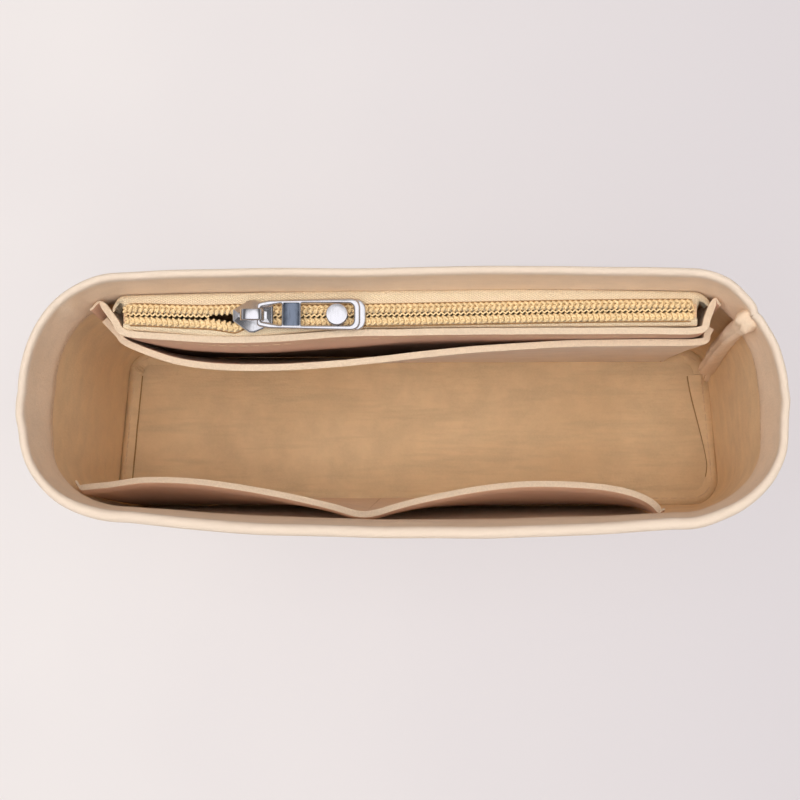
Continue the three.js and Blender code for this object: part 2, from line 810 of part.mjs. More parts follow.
piece("zip_tape_back", zipTape(1), materials.tape);
piece("zip_tape_front", zipTape(-1), materials.tape);
piece("zip_coil_back", coil(1), materials.coil);
piece("zip_coil_front", coil(-1), materials.coil);
piece("zip_thread_back", tapeThread(1), materials.thread);
piece("zip_thread_front", tapeThread(-1), materials.thread);
piece("zip_tack_left", zipTack(chainLeft), materials.thread);
piece("zip_tack_right", zipTack(chainRight - tackLength - pitch), materials.thread);

const slipEnd = slipPath(slipTop, 0).length - 2;
const pocketEnd = pocketPath(pocketTop, 0).length - 2;
const pinch = sideSteps + 2;
piece("back_pocket_thread_left", uprightThread(slipPath, 1, slipTop), materials.thread);
piece("back_pocket_thread_right", uprightThread(slipPath, slipEnd, slipTop), materials.thread);
piece("front_pocket_thread_left", uprightThread(pocketPath, 1, pocketTop), materials.thread);
piece("front_pocket_thread_middle", uprightThread(pocketPath, pinch, pocketTop), materials.thread);
piece("front_pocket_thread_right", uprightThread(pocketPath, pocketEnd, pocketTop), materials.thread);

const slider = new THREE.Group();
slider.position.set(noseX, zipY, zipLevel);
pouch.add(slider);
piece("slider_body", sliderBody(), materials.metal, slider);
piece("slider_cap", sliderCap(), materials.metal, slider);
piece("slider_lock_spring", lockSpring(), materials.metal, slider);

const pullGroup = new THREE.Group();
pullGroup.position.set(pivotFromNose, 0, plateTop + pivotRise);
pullGroup.rotation.y = toRadians(pullTilt);
slider.add(pullGroup);
piece("pull_tab", pullTab(), materials.metal, pullGroup);
piece("pull_stud", pullStud(), materials.metal, pullGroup);

export default pouch;
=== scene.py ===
"""Storage pouch: the dressed model of an open felt liner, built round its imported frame.

Every length is in metres. +Z is up, +X runs to the right and +Y towards the zipped back.
"""

import math

import bmesh
import bpy
from bpy.props import FloatProperty, FloatVectorProperty, IntProperty, PointerProperty
from mathutils import Matrix, Vector, noise


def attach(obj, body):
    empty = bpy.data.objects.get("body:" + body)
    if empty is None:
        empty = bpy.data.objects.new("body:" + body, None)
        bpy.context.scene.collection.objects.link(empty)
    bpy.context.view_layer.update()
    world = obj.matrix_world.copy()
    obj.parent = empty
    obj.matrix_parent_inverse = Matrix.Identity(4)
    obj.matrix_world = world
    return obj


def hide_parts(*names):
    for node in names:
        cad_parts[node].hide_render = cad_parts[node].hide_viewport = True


bl_info = {
    "name": "Storage pouch",
    "version": (1, 0, 0),
    "blender": (4, 5, 0),
    "location": "3D View > Sidebar > Pouch",
    "description": "Dresses a zipped felt pouch round its packed frame",
    "category": "Add Mesh",
}

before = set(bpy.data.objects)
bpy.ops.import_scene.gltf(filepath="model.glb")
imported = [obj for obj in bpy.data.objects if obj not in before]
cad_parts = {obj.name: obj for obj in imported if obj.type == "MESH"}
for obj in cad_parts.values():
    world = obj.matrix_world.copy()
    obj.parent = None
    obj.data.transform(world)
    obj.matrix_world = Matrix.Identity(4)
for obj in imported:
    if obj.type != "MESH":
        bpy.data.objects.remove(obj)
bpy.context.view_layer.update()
MM = 0.001


def size(name, description, millimetres):
    """A length that shows in the sidebar, given in millimetres."""
    return FloatProperty(
        name=name, description=description, default=millimetres * MM, unit="LENGTH", precision=5
    )


def share(name, description, default):
    """A plain number that shows in the sidebar."""
    return FloatProperty(name=name, description=description, default=default, precision=4)


def count(name, description, default):
    """A whole number that shows in the sidebar."""
    return IntProperty(name=name, description=description, default=default, min=1)


def linear(channel):
    """One colour channel, from the 0 to 255 of a screen to linear light."""
    c = channel / 255
    return c / 12.92 if c <= 0.04045 else ((c + 0.055) / 1.055) ** 2.4


def on_screen(red, green, blue):
    """A colour with alpha in linear light, given as it looks on a screen."""
    return (*[linear(c) for c in (red, green, blue)], 1)


def colour(name, description, red, green, blue):
    """A colour that shows in the sidebar, given as it looks on a screen."""
    return FloatVectorProperty(
        name=name, description=description, subtype="COLOR", size=3, min=0, max=1,
        default=on_screen(red, green, blue)[:3],
    )


class PouchShape(bpy.types.PropertyGroup):
    """Sizes of the sewn pouch."""

    height: size("Height", "From the foot to the rim", 120)
    felt: size("Felt", "Thickness of the felt", 1.8)
    gap: size("Gap", "Clearance between sewn pieces", 0.3)
    stand: size("Stand", "Clearance of a pocket's felt from the wall", 0.65)
    rim_length: size("Rim length", "Length over the rim", 201.6)
    rim_back: size("Rim back", "From the middle to the back of the rim", 34.2)
    rim_front: size("Rim front", "From the middle to the front of the rim", 31.8)
    back_bow: size("Back bow", "How far the back of the rim bows out", 1.2)
    front_bow: size("Front bow", "How far the front of the rim bows out", 3.5)
    end_bow: size("End bow", "How far the ends of the rim bow out", 0.6)
    back_corner_x: size("Back corner length", "Length of a back corner at the rim", 25)
    back_corner_y: size("Back corner depth", "Depth of a back corner at the rim", 31)
    front_corner_x: size("Front corner length", "Length of a front corner at the rim", 29)
    front_corner_y: size("Front corner depth", "Depth of a front corner at the rim", 25)
    foot_back: size("Foot back length", "Length of the foot along the back", 197)
    foot_front: size("Foot front length", "Length of the foot along the front", 203)
    foot_depth: size("Foot depth", "Depth of the foot", 55)
    foot_corner: size("Foot corner", "Radius of the foot's corners", 10)
    hem: size("Hem", "Depth of the folded hem", 30)
    allowance: size("Allowance", "Width of the allowance turned in at the foot", 4.4)
    ridge: size("Ridge", "Depth of the closing seam's turned-in ends", 4.5)
    seam_top: share("Seam top", "Place of the closing seam in its corner at the rim, 0 to 1", 0.475)
    seam_lean: share("Seam lean", "How far the closing seam leans to the end at the foot", 0.53)
    seam_reach: size("Seam reach", "Height over which the closing seam straightens up", 28)
    press: share("Press", "How thin the fold is pressed at the back and the ends", 0.58)
    press_front: share("Front press", "How thin the fold is pressed at the front", 0.84)
    zip_drop: size("Zip drop", "From the rim down to the zip", 15)
    zip_front: size("Zip panel", "From the middle to the zip panel's front", 19.3)
    zip_bend_left: size("Left bend", "From the rim's left end to the zip panel's bend", 25.3)
    zip_bend_right: size("Right bend", "From the rim's right end to the zip panel's bend", 21)
    zip_run_left: size("Left slant", "Run of the zip panel's left slanted side", 6.4)
    zip_run_right: size("Right slant", "Run of the zip panel's right slanted side", 3.4)
    zip_flange_left: size("Left flange", "Length of the zip panel's left flange", 3.2)
    zip_flange_right: size("Right flange", "Length of the zip panel's right flange", 1.6)
    zip_bulge: size("Zip bulge", "How far the zip panel bulges at the slider", 2.4)
    belly: size("Belly", "How far the zip panel bulges under the zip at the right", 0.8)
    zip_bulge_x: size("Bulge place", "Where the zip panel bulges most", -46)
    zip_bulge_reach: size("Bulge reach", "How far the bulge reaches to each side", 22)
    slip_drop: size("Slip pocket drop", "From the rim down to the slip pocket", 23)
    slip_bow: size("Slip pocket bow", "How far the slip pocket stands open", 7.25)
    slip_skew: share("Slip pocket skew", "Draws the bow to the left", 0.45)
    pocket_drop: size("Front pocket drop", "From the rim down to the front pockets", 32)
    pocket_left: size("Pocket left end", "From the rim's left end to the front pockets", 9.8)
    pocket_right: size("Pocket right end", "From the rim's right end to the front pockets", 30.8)
    pocket_pinch: size("Pinch", "Place of the pinch between the front pockets", -11.5)
    left_bulge: size("Left pocket bulge", "How far the left front pocket stands open", 7.5)
    right_bulge: size("Right pocket bulge", "How far the right front pocket stands open", 8.2)
    left_crest: share("Left crest", "Where the left pocket bulges most, from the pinch", 0.64)
    right_crest: share("Right crest", "Where the right pocket bulges most, from the pinch", 0.58)
    pocket_flange: size("Pocket flange", "Length of the front pockets' sewn ends", 2.4)


class ZipShape(bpy.types.PropertyGroup):
    """Sizes of the zip chain, its slider and its pull."""

    middle: size("Zip middle", "Middle of the slider, across the pouch", 24.6)
    chain_left: size("Chain left", "From the rim's left end to the chain", 24.6)
    chain_right: size("Chain right", "From the rim's right end to the chain", 21.2)
    pitch: size("Pitch", "Length of one turn of the coil", 1.5)
    wire: size("Wire", "Radius of the coil's nylon wire", 0.33)
    coil_width: size("Coil width", "Width of one row of coil", 2.1)
    coil_height: size("Coil height", "Height of the coil", 1.5)
    coil_from: size("Coil start", "From the middle to the tip of a turn", 0.6)
    tape: size("Tape", "Thickness of the tape", 0.6)
    tape_leg: size("Tape leg", "Width of tape sewn to the felt", 8)
    parting: size("Parting", "How far the front row is pushed aside at the nose", 1.6)
    nose: size("Nose", "Place of the slider's nose", -45.7)
    cap_start: size("Cap start", "From the nose to the cap", 2.1)
    cap_length: size("Cap length", "Length of the cap", 6.6)
    cap_width: size("Cap width", "Width of the cap", 3.3)
    pivot: size("Pivot", "From the nose to the pull's bar", 7.3)
    pull_length: size("Pull length", "From the bar to the pull's far end", 28.9)
    pull_half: size("Pull half width", "Half the pull's width", 4.4)
    pull_thick: size("Pull thickness", "Thickness of the pull", 1.4)
    pull_rail: size("Pull rail", "Width of the pull's side rails", 1.4)
    pull_tilt: FloatProperty(
        name="Pull tilt", description="How far the pull hangs down at rest",
        default=math.radians(2.6), subtype="ANGLE",
    )
    stud_at: size("Stud place", "From the bar to the middle of the stud", 21.1)
    stud_radius: size("Stud radius", "Radius of the stud", 2.95)


class PouchFinish(bpy.types.PropertyGroup):
    """Colours of the felt, the zip and the metal, as they look on a screen."""

    wall: colour("Wall felt", "Felt of the wall", 246, 220, 193)
    # painted shade and bounce light: a darker, more orange copy of the wall felt, low in the pouch
    base: colour("Base felt", "Felt of the base", 227, 198, 159)
    pocket: colour("Pocket felt", "Felt of the pockets", 240, 210, 180)
    # painted bounce light: a warmer copy of the wall felt, for the warm light inside the pouch
    within: colour("Inner wall felt", "Felt of the wall's inner face, below the hem", 243, 212, 169)
    # painted light: a paler copy of the pocket felt, for the light on the slip pocket's face
    slip: colour("Slip pocket felt", "Outer face of the slip pocket", 242, 224, 206)
    # painted shade: a darker, redder copy of the pocket felt, for the shade inside the pockets
    inner: colour("Pocket inside", "Felt inside the pockets", 220, 178, 149)
    # painted shadow: a dark colour for tubes laid along shadow lines at the zip and the foot
    groove: colour("Seam groove", "Sunk thread beside the coil and along the foot", 168, 130, 86)
    cut: colour("Cut edge", "Cut edges of the felt", 231, 208, 182)
    tape: colour("Tape", "Woven tape of the zip", 244, 223, 190)
    coil: colour("Coil", "Nylon coil of the zip", 242, 212, 163)
    thread: colour("Thread", "Sewing thread", 222, 190, 156)
    metal: colour("Metal", "Bright plated metal", 226, 224, 226)
    # painted reflection: the dark blue-grey stands in for the dark surroundings the panel reflects
    mirror: colour("Mirror", "Flat polished panel of the pull", 118, 126, 140)


class PouchDetail(bpy.types.PropertyGroup):
    """How finely the pieces are divided."""

    round_wall: count("Wall columns", "Points round the wall", 300)
    wall_rows: count("Wall rows", "Points up the wall below the fold", 44)
    fold_rows: count("Fold rows", "Points over the rim's fold", 9)
    hem_rows: count("Hem rows", "Points down the folded hem", 14)
    panel_columns: count("Panel columns", "Points along a pocket's panel", 190)
    panel_rows: count("Panel rows", "Points up a pocket's panel", 36)
    turn_points: count("Turn points", "Points in one turn of the coil", 12)


def clamp(value, low=0.0, high=1.0):
    """The value, kept between low and high."""
    return max(low, min(high, value))


def mix(a, b, f):
    """The value f of the way from a to b."""
    return a + (b - a) * f


def smooth(value, low=0.0, high=1.0):
    """A soft step from 0 at low to 1 at high."""
    f = clamp((value - low) / (high - low))
    return f * f * (3 - 2 * f)


def bump(value, middle, reach):
    """A soft hill of height 1 at its middle."""
    return math.exp(-(((value - middle) / reach) ** 2))


def blunt(value, power):
    """The value raised to a power, its sign kept."""
    return math.copysign(abs(value) ** power, value)


def rough(x, y, z):
    """A smooth noise at a place, about -1 to 1."""
    return noise.noise(Vector((x, y, z)))


def path_length(points):
    """Length of a path of points."""
    return sum((b - a).length for a, b in zip(points, points[1:]))


# how far the sewn outline stands out of the drawn one at the rim: place round it, millimetres
UNEVEN = (
    (0.0, 0.35), (0.2, -0.1), (0.4, -0.7), (0.55, 0.0), (0.75, 0.8), (1.0, 0.7), (1.3, 0.75),
    (1.5, 0.35), (1.75, 0.35), (1.95, 0.5), (2.2, 0.35), (2.5, 0.8), (2.8, 0.95), (3.2, 0.95),
    (3.6, 0.8), (3.9, 0.5), (4.2, 0.3), (4.5, 0.2), (4.8, -0.1), (5.0, -0.3), (5.3, 0.15),
    (5.5, 0.4), (5.7, 0.75), (5.9, 1.3), (6.1, 1.5), (6.3, 1.0), (6.6, 0.9), (6.8, 0.6), (7.0, 0.2),
    (7.3, -0.1), (7.6, 0.1), (7.8, 0.4), (8.0, 0.35),
)


class Pattern:
    """The pouch's lines seen from above at any height, from the sizes in the sidebar."""

    def __init__(self, scene):
        for group in (scene.pouch_shape, scene.pouch_zip, scene.pouch_detail):
            for name in type(group).__annotations__:
                setattr(self, name, getattr(group, name))
        self.zip_level = self.height - self.zip_drop
        self.slip_top = self.height - self.slip_drop
        self.pocket_top = self.height - self.pocket_drop
        self.hem_foot = self.height - self.hem
        self.flange_top = 2 * self.felt + self.gap
        self.panel_foot = self.flange_top + self.stand
        half = self.rim_length / 2
        self.bend_left = self.zip_bend_left - half
        self.bend_right = half - self.zip_bend_right
        self.chain_start = self.chain_left - half
        self.chain_end = half - self.chain_right
        self.strip_left = self.pocket_left - half
        self.strip_right = half - self.pocket_right

    def side(self, back, z):
        """Edge, corner radii and corner centre of one half of the outline at a height."""
        up = z / self.height
        corner_x = self.back_corner_x if back else self.front_corner_x
        corner_y = self.back_corner_y if back else self.front_corner_y
        foot = self.foot_back if back else self.foot_front
        half = mix(foot / 2, self.rim_length / 2 - self.end_bow, up)
        edge = mix(self.foot_depth / 2, self.rim_back if back else self.rim_front, up)
        rx = mix(self.foot_corner, corner_x, up)
        ry = mix(self.foot_corner, corner_y, up)
        bow = (self.back_bow if back else self.front_bow) * up
        return edge, rx, ry, half - rx, edge - ry, bow

    def corner(self, quarter, f, z):
        """Point and outward direction f of the way round one of the four corners."""
        back = quarter < 2
        _, rx, ry, cx, cy, _ = self.side(back, z)
        angle = (quarter + f) * math.pi / 2
        c, n = math.cos(angle), math.sin(angle)
        cx = cx if quarter in (0, 3) else -cx
        cy = cy if back else -cy
        return Vector((cx + rx * c, cy + ry * n)), Vector((c / rx, n / ry)).normalized()

    def uneven(self, s, z):
        """How far the wall stands out of its drawn outline."""
        s %= 8
        for (a, low), (b, high) in zip(UNEVEN, UNEVEN[1:]):
            if s <= b:
                return mix(low, high, smooth(s, a, b)) * MM * clamp(z / self.height) ** 1.5
        return 0

    def outline(self, s, z):
        """The wall's outer face; s counts corners (even) and sides (odd), anticlockwise."""
        point, normal = self.drawn(s, z)
        return point + normal * self.uneven(s, z), normal

    def drawn(self, s, z):
        """The outline as it is drawn, before the unevenness of the sewn wall."""
        part = math.floor(s) % 8
        f = s - math.floor(s)
        if part % 2 == 0:
            return self.corner(part // 2, f, z)
        quarter = (part - 1) // 2
        start, first = self.corner(quarter, 1, z)
        end, _ = self.corner((quarter + 1) % 4, 0, z)
        on_end = quarter % 2 == 1
        bow = self.end_bow * z / self.height if on_end else self.side(quarter == 0, z)[5]
        point = start.lerp(end, f) + first * (bow * 4 * f * (1 - f))
        slope = bow * 4 * (1 - 2 * f) / (end - start).length
        along = Vector((-first.y, first.x))
        return point, (first - along * slope).normalized()

    def wall_y(self, back, x, z, depth):
        """Y of the face that lies a depth inside the wall's outer face, at its back or front."""
        edge, rx, ry, cx, cy, bow = self.side(back, z)
        beyond = abs(x) - cx
        if beyond <= 0:
            y = edge + bow * (1 - (x / cx) ** 2) - depth
            s = 1.5 - x / (2 * cx) if back else 5.5 + x / (2 * cx)
        else:
            part = min(beyond / (rx - depth), 1)
            y = cy + (ry - depth) * math.sqrt(1 - part * part)
            turn = math.acos(part) * 2 / math.pi
            quarter = (0 if x > 0 else 2) if back else (6 if x > 0 else 4)
            s = quarter + (turn if quarter in (0, 4) else 1 - turn)
        y += self.uneven(s, z)
        return y if back else -y

    def wall_thickness(self, z):
        """Thickness of the wall, doubled where the hem is folded in."""
        layers = 1 + smooth(z, self.hem_foot - 2 * self.felt, self.hem_foot)
        return self.felt * layers * self.pressed(1.5, z)

    def feather(self, part, z):
        """The hem's felt thins out over its last millimetres, as a share of its thickness."""
        thinnest, run = 0.12, 9 * MM
        if part != "hem":
            return 1
        return mix(thinnest, 1, smooth(z, self.hem_foot, self.hem_foot + run))

    def zip_opening(self, z):
        """How far the zip pocket has opened at a height, 0 at its foot and 1 at the zip."""
        return clamp((z - self.panel_foot) / (self.zip_level - self.panel_foot))

    def bulge(self, x, z):
        """How far the zip panel bulges forward: at the slider, and in a belly under the zip."""
        slider = bump(x, self.zip_bulge_x, self.zip_bulge_reach)
        left_belly, depth = 1.8 * MM, 12 * MM
        below = (self.zip_level - z) / depth
        belly = mix(left_belly, self.belly, smooth(x, -0.02, 0.01)) * smooth(below, 0, 1)
        belly *= (1 - smooth(below, 1.3, 4)) * smooth(x, self.bend_left, self.bend_left + 0.014)
        belly *= mix(1, 0.65, smooth(x, self.bend_right - 0.02, self.bend_right))
        return self.zip_bulge * self.zip_opening(z) * slider + belly

    def zip_y(self, x, z, depth):
        """Y of the zip panel, a depth in from the side that faces the wall."""
        foot = self.wall_y(True, x, self.panel_foot, self.felt + self.stand)
        flat = mix(foot, self.zip_front + self.felt, self.zip_opening(z))
        return flat - self.bulge(x, z) - depth

    def zip_path(self, z, depth):
        """The zip panel from above: flange, slanted side, straight front, side, flange."""

        def on_wall(x):
            return self.wall_y(True, x, z, self.wall_thickness(z) + self.stand + depth)

        def mitre(bend, run):
            back = self.wall_y(True, bend, z, self.wall_thickness(z) + self.stand)
            rise = back - self.zip_y(bend, z, 0)
            return depth * math.tan(math.atan2(rise, run) / 2)

        bend_left = self.bend_left - mitre(self.bend_left, self.zip_run_left)
        bend_right = self.bend_right + mitre(self.bend_right, self.zip_run_right)
        left = bend_left - self.zip_run_left
        right = bend_right + self.zip_run_right
        path = [Vector((left - self.zip_flange_left * i / 2, 0)) for i in (2, 1, 0)]
        for p in path:
            p.y = on_wall(p.x)
        front_left = Vector((bend_left, self.zip_y(self.bend_left, z, depth)))
        front_right = Vector((bend_right, self.zip_y(self.bend_right, z, depth)))
        wall_right = Vector((right, on_wall(right)))
        path += [path[-1].lerp(front_left, i / 3) for i in (1, 2)]
        for i in range(15):
            x = mix(self.bend_left, self.bend_right, i / 14)
            path.append(Vector((mix(bend_left, bend_right, i / 14), self.zip_y(x, z, depth))))
        path += [front_right.lerp(wall_right, i / 3) for i in (1, 2)]
        for i in range(3):
            x = right + self.zip_flange_right * i / 2
            path.append(Vector((x, on_wall(x))))
        return path

    def slip_path(self, z, depth):
        """The slip pocket lies on the zip panel and bows away from it towards its left."""
        opened = clamp((z - self.panel_foot) / (self.slip_top - self.panel_foot))
        path = []
        for p in self.zip_path(z, self.felt + self.gap + depth)[2:-3]:
            f = clamp((p.x - self.bend_left) / (self.bend_right - self.bend_left))
            swell = math.sin(math.pi * f**self.slip_skew)
            bow = max(self.slip_bow * opened * swell**2 - self.bulge(p.x, z), 0)
            path.append(Vector((p.x, p.y - bow)))
        return path

    def pocket_path(self, z, depth):
        """The front pockets' strip from left to right, pinched to the wall between them."""
        opened = clamp((z - self.panel_foot) / (self.pocket_top - self.panel_foot)) ** 1.8
        left, right, pinch = self.strip_left, self.strip_right, self.pocket_pinch
        steps = 14

        def bulge(end, reach, crest, power, bluntness):
            """Half of the strip, from the pinch to its crest and on to its outer end."""
            for i in range(steps + 1):
                f = math.sin(math.pi / 2 * i / steps)
                beyond = clamp((f - crest) / (1 - crest))
                rise = math.sin(math.pi / 2 * min(f / crest, 1))
                yield mix(pinch, end, f), reach * rise * (1 - beyond**power) ** bluntness

        left_half = list(bulge(left, self.left_bulge, self.left_crest, 2.6, 0.8))
        right_half = list(bulge(right, self.right_bulge, self.right_crest, 2.6, 0.6))
        path = [(left - self.pocket_flange, 0), (left - self.pocket_flange / 2, 0)]
        path += left_half[::-1] + right_half[1:]
        path += [(right + self.pocket_flange / 2, 0), (right + self.pocket_flange, 0)]
        inset = self.wall_thickness(z) + self.stand
        seated = [Vector((x, self.wall_y(False, x, z, inset) + out * opened)) for x, out in path]
        return shifted(seated, depth)

    def seam(self, z):
        """Place of the closing seam in its corner at a height."""
        return self.seam_top - self.seam_lean * math.exp(-z / self.seam_reach)

    def pressed(self, s, z):
        """Thickness of the felt as a share of its own, thinner where the rim is pressed."""
        front = smooth(s % 8, 4.2, 4.9) * (1 - smooth(s % 8, 6.1, 6.9))
        thin = mix(self.press, self.press_front, front)
        reach = mix(30 * MM, 12 * MM, front)
        return mix(1, thin, smooth(z, self.height - reach, self.height - 2 * MM))

    def near_seam(self, side, along, depth, z):
        """A point near the closing seam: along the outline from it, and a depth inside."""
        s = self.seam(z) + 8 * (side < 0)
        step = 0.01
        here, _ = self.outline(s, z)
        ahead, _ = self.outline(s + side * step, z)
        point, normal = self.outline(s + side * step * along / (ahead - here).length, z)
        return point - normal * depth


def shifted(path, distance):
    """A path seen from above, moved to its left by a distance, with mitred corners."""
    moved = []
    for i, p in enumerate(path):
        before = path[max(i - 1, 0)]
        after = path[min(i + 1, len(path) - 1)]
        a = (after - p if i == 0 else p - before).normalized()
        b = (a if i == len(path) - 1 else after - p).normalized()
        middle = (a + b).normalized()
        reach = distance * min(1 / middle.dot(a), 1.4)
        moved.append(p + Vector((-middle.y, middle.x)) * reach)
    return moved


def resampled(path, amount, rounds=2):
    """The path as equally many points along its index, its corners eased off."""
    fine = []
    last = len(path) - 1
    for k in range(amount):
        t = k / (amount - 1) * last
        i = min(int(t), last - 1)
        f = t - i
        a, b, c, d = (path[int(clamp(i + j, 0, last))] for j in (-1, 0, 1, 2))
        square, cube = 2 * a - 5 * b + 4 * c - d, 3 * b - 3 * c + d - a
        fine.append(0.5 * (2 * b + (c - a) * f + square * f * f + cube * f**3))
    for _ in range(rounds):
        eased = [(p + 2 * q + r) / 4 for p, q, r in zip(fine, fine[1:], fine[2:])]
        fine = [fine[0], *eased, fine[-1]]
    return fine


def ripple(point, scale, amount):
    """A smooth sideways unevenness of the felt at a point."""
    p = Vector(point) / scale
    shift = Vector((noise.noise(p), noise.noise(p + Vector((7, 3, 1))), 0))
    return shift * amount


def settle(point, height):
    """The felt's unevenness, the same for all layers: broad waves that grow upwards, and fine."""
    broad, fine = 0.0005 * clamp(point[2] / height), 0.00016
    return Vector(point) + ripple(point, 0.045, broad) + ripple(point, 0.014, fine)


def draped_grid(columns, rows, place):
    """A sheet of columns by rows points, each moved to place(column, row)."""
    bm = bmesh.new()
    bmesh.ops.create_grid(bm, x_segments=columns - 1, y_segments=rows - 1, size=0.5)
    for v in bm.verts:
        i = round((v.co.x + 0.5) * (columns - 1))
        j = round((v.co.y + 0.5) * (rows - 1))
        v.co = place(i, j)
    return bm


def unwrap(bm, columns, along, up):
    """Gives a draped grid a UV map in metres: along(column) across and up(row) upwards."""
    layer = bm.loops.layers.uv.new("cloth")
    bm.verts.index_update()
    for face in bm.faces:
        for loop in face.loops:
            j, i = divmod(loop.vert.index, columns)
            loop[layer].uv = (along(i), up(j))


def mesh_of(name, bm):
    """A new mesh from a bmesh, which goes."""
    mesh = bpy.data.meshes.new(name)
    bm.to_mesh(mesh)
    bm.free()
    return mesh


def add_piece(name, bm, slots, body, slot, *stands_for):
    """Makes a bmesh a piece that rides on a body and stands for CAD nodes."""
    return add_mesh(name, mesh_of(name, bm), slots, body, slot, *stands_for)


def add_mesh(name, mesh, slots, body, slot, *stands_for):
    """Makes a mesh a piece that rides on a body and stands for CAD nodes."""
    mesh.shade_smooth()
    piece = bpy.data.objects.new(name, mesh)
    bpy.context.scene.collection.objects.link(piece)
    for material in slots:
        mesh.materials.append(material)
    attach(piece, body)
    if stands_for:
        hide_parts(*stands_for)
    return piece


def thicken(piece, thickness, edge=0.00035, segments=2, rim=1):
    """Gives a sheet its thickness on both sides and rounds its cut edges."""
    wall = piece.modifiers.new("thickness", "SOLIDIFY")
    wall.thickness = thickness
    wall.offset = 0
    wall.use_even_offset = True
    wall.material_offset_rim = rim
    if edge:
        soften = piece.modifiers.new("edge", "BEVEL")
        soften.width = edge
        soften.segments = segments
        soften.limit_method = "ANGLE"
        soften.angle_limit = math.radians(50)
    return piece


def poly_curve(name, dimensions, paths, closed=False):
    """A curve of straight runs along paths of points."""
    curve = bpy.data.curves.new(name, "CURVE")
    curve.dimensions = dimensions
    for path in paths:
        spline = curve.splines.new("POLY")
        spline.points.add(len(path) - 1)
        for point, place in zip(spline.points, path):
            point.co = Vector(place).to_4d()
        spline.use_cyclic_u = closed
    return curve


def add_tubes(name, paths, radius, finish, slot, *nodes, fineness=1):
    """Round tubes along paths of points, as a piece of the pouch."""
    curve = poly_curve(name, "3D", paths)
    curve.bevel_depth = radius
    curve.bevel_resolution = fineness
    curve.use_fill_caps = True
    mesh = curve_mesh(name, curve)
    return add_mesh(name, mesh, (finish_of(finish),), "pouch", slot, *nodes)


def curve_mesh(name, curve):
    """The mesh of a curve; the curve goes."""
    holder = bpy.data.objects.new(name, curve)
    bpy.context.scene.collection.objects.link(holder)
    bpy.context.view_layer.update()
    graph = bpy.context.evaluated_depsgraph_get()
    mesh = bpy.data.meshes.new_from_object(holder.evaluated_get(graph))
    bpy.data.objects.remove(holder)
    bpy.data.curves.remove(curve)
    mesh.name = name
    return mesh


def stitches(path, ups, length, spacing, rise, dip):
    """Short arcs of thread along a path; ups are the directions out of the felt."""
    arcs = []
    run = 0.0
    for a, b, up in zip(path, path[1:], ups):
        step = (b - a).length
        along = (b - a).normalized()
        while run < step:
            middle = a.lerp(b, run / step)
            arcs.append(
                [middle + along * (length * f) + up * h
                 for f, h in ((-0.5, -dip), (-0.3, rise), (0.3, rise), (0.5, -dip))]
            )
            run += spacing
        run -= step
    return arcs


class Nodes:
    """A node tree that is filled node by node."""

    def __init__(self, tree):
        self.tree = tree

    def node(self, kind, inputs=None, **settings):
        """Adds a node with its settings, and values or links for its inputs."""
        made = self.tree.nodes.new(kind)
        for key, value in settings.items():
            setattr(made, key, value)
        for key, value in (inputs or {}).items():
            self.feed(made.inputs[key], value)
        return made

    def feed(self, socket, value):
        """Sets an input, or links it where the value is another node's output."""
        if isinstance(value, bpy.types.NodeSocket):
            self.tree.links.new(value, socket)
        else:
            socket.default_value = value


class Material(Nodes):
    """A material built node by node."""

    def __init__(self, name):
        self.data = bpy.data.materials.new(name)
        self.data.use_nodes = True
        super().__init__(self.data.node_tree)
        self.shader = self.tree.nodes["Principled BSDF"]

    def set(self, **values):
        """Sets or links inputs of the shader; underscores stand for spaces."""
        for key, value in values.items():
            self.feed(self.shader.inputs[key.replace("_", " ")], value)

    def coordinates(self, scale=(1, 1, 1), turn=(0, 0, 0), output="Object"):
        """The piece's own coordinates, scaled and turned."""
        source = self.node("ShaderNodeTexCoord")
        inputs = {"Vector": source.outputs[output], "Scale": scale, "Rotation": turn}
        return self.node("ShaderNodeMapping", inputs).outputs["Vector"]

    def noise(self, vector, scale, detail=2.0, roughness=0.5):
        """A noise from 0 to 1."""
        inputs = {"Vector": vector, "Scale": scale, "Detail": detail, "Roughness": roughness}
        return self.node("ShaderNodeTexNoise", inputs).outputs["Fac"]

    def spread(self, value, low, high, to_low=0.0, to_high=1.0):
        """A value's range mapped to another, kept within it."""
        inputs = {
            "Value": value, "From Min": low, "From Max": high, "To Min": to_low, "To Max": to_high
        }
        return self.node("ShaderNodeMapRange", inputs).outputs["Result"]

    def maths(self, operation, a, b=0.0):
        """Arithmetic on two values."""
        return self.node("ShaderNodeMath", {0: a, 1: b}, operation=operation).outputs[0]

    def blend(self, factor, a, b):
        """Mixes two colours."""
        inputs = {"Factor": factor, "A": a, "B": b}
        return self.node("ShaderNodeMix", inputs, data_type="RGBA").outputs["Result"]

    def relief(self, height, distance, strength=1.0):
        """Turns a height into a normal."""
        inputs = {"Height": height, "Distance": distance, "Strength": strength}
        return self.node("ShaderNodeBump", inputs).outputs["Normal"]


# painted sheen: the greyer, less saturated colour that the felt takes on the rim's crest
PAINTED_CREST_SHEEN = on_screen(229, 212, 196)


def shade(rgb, factor):
    """A colour with alpha, made lighter or darker."""
    return (*[clamp(c * factor) for c in rgb], 1)


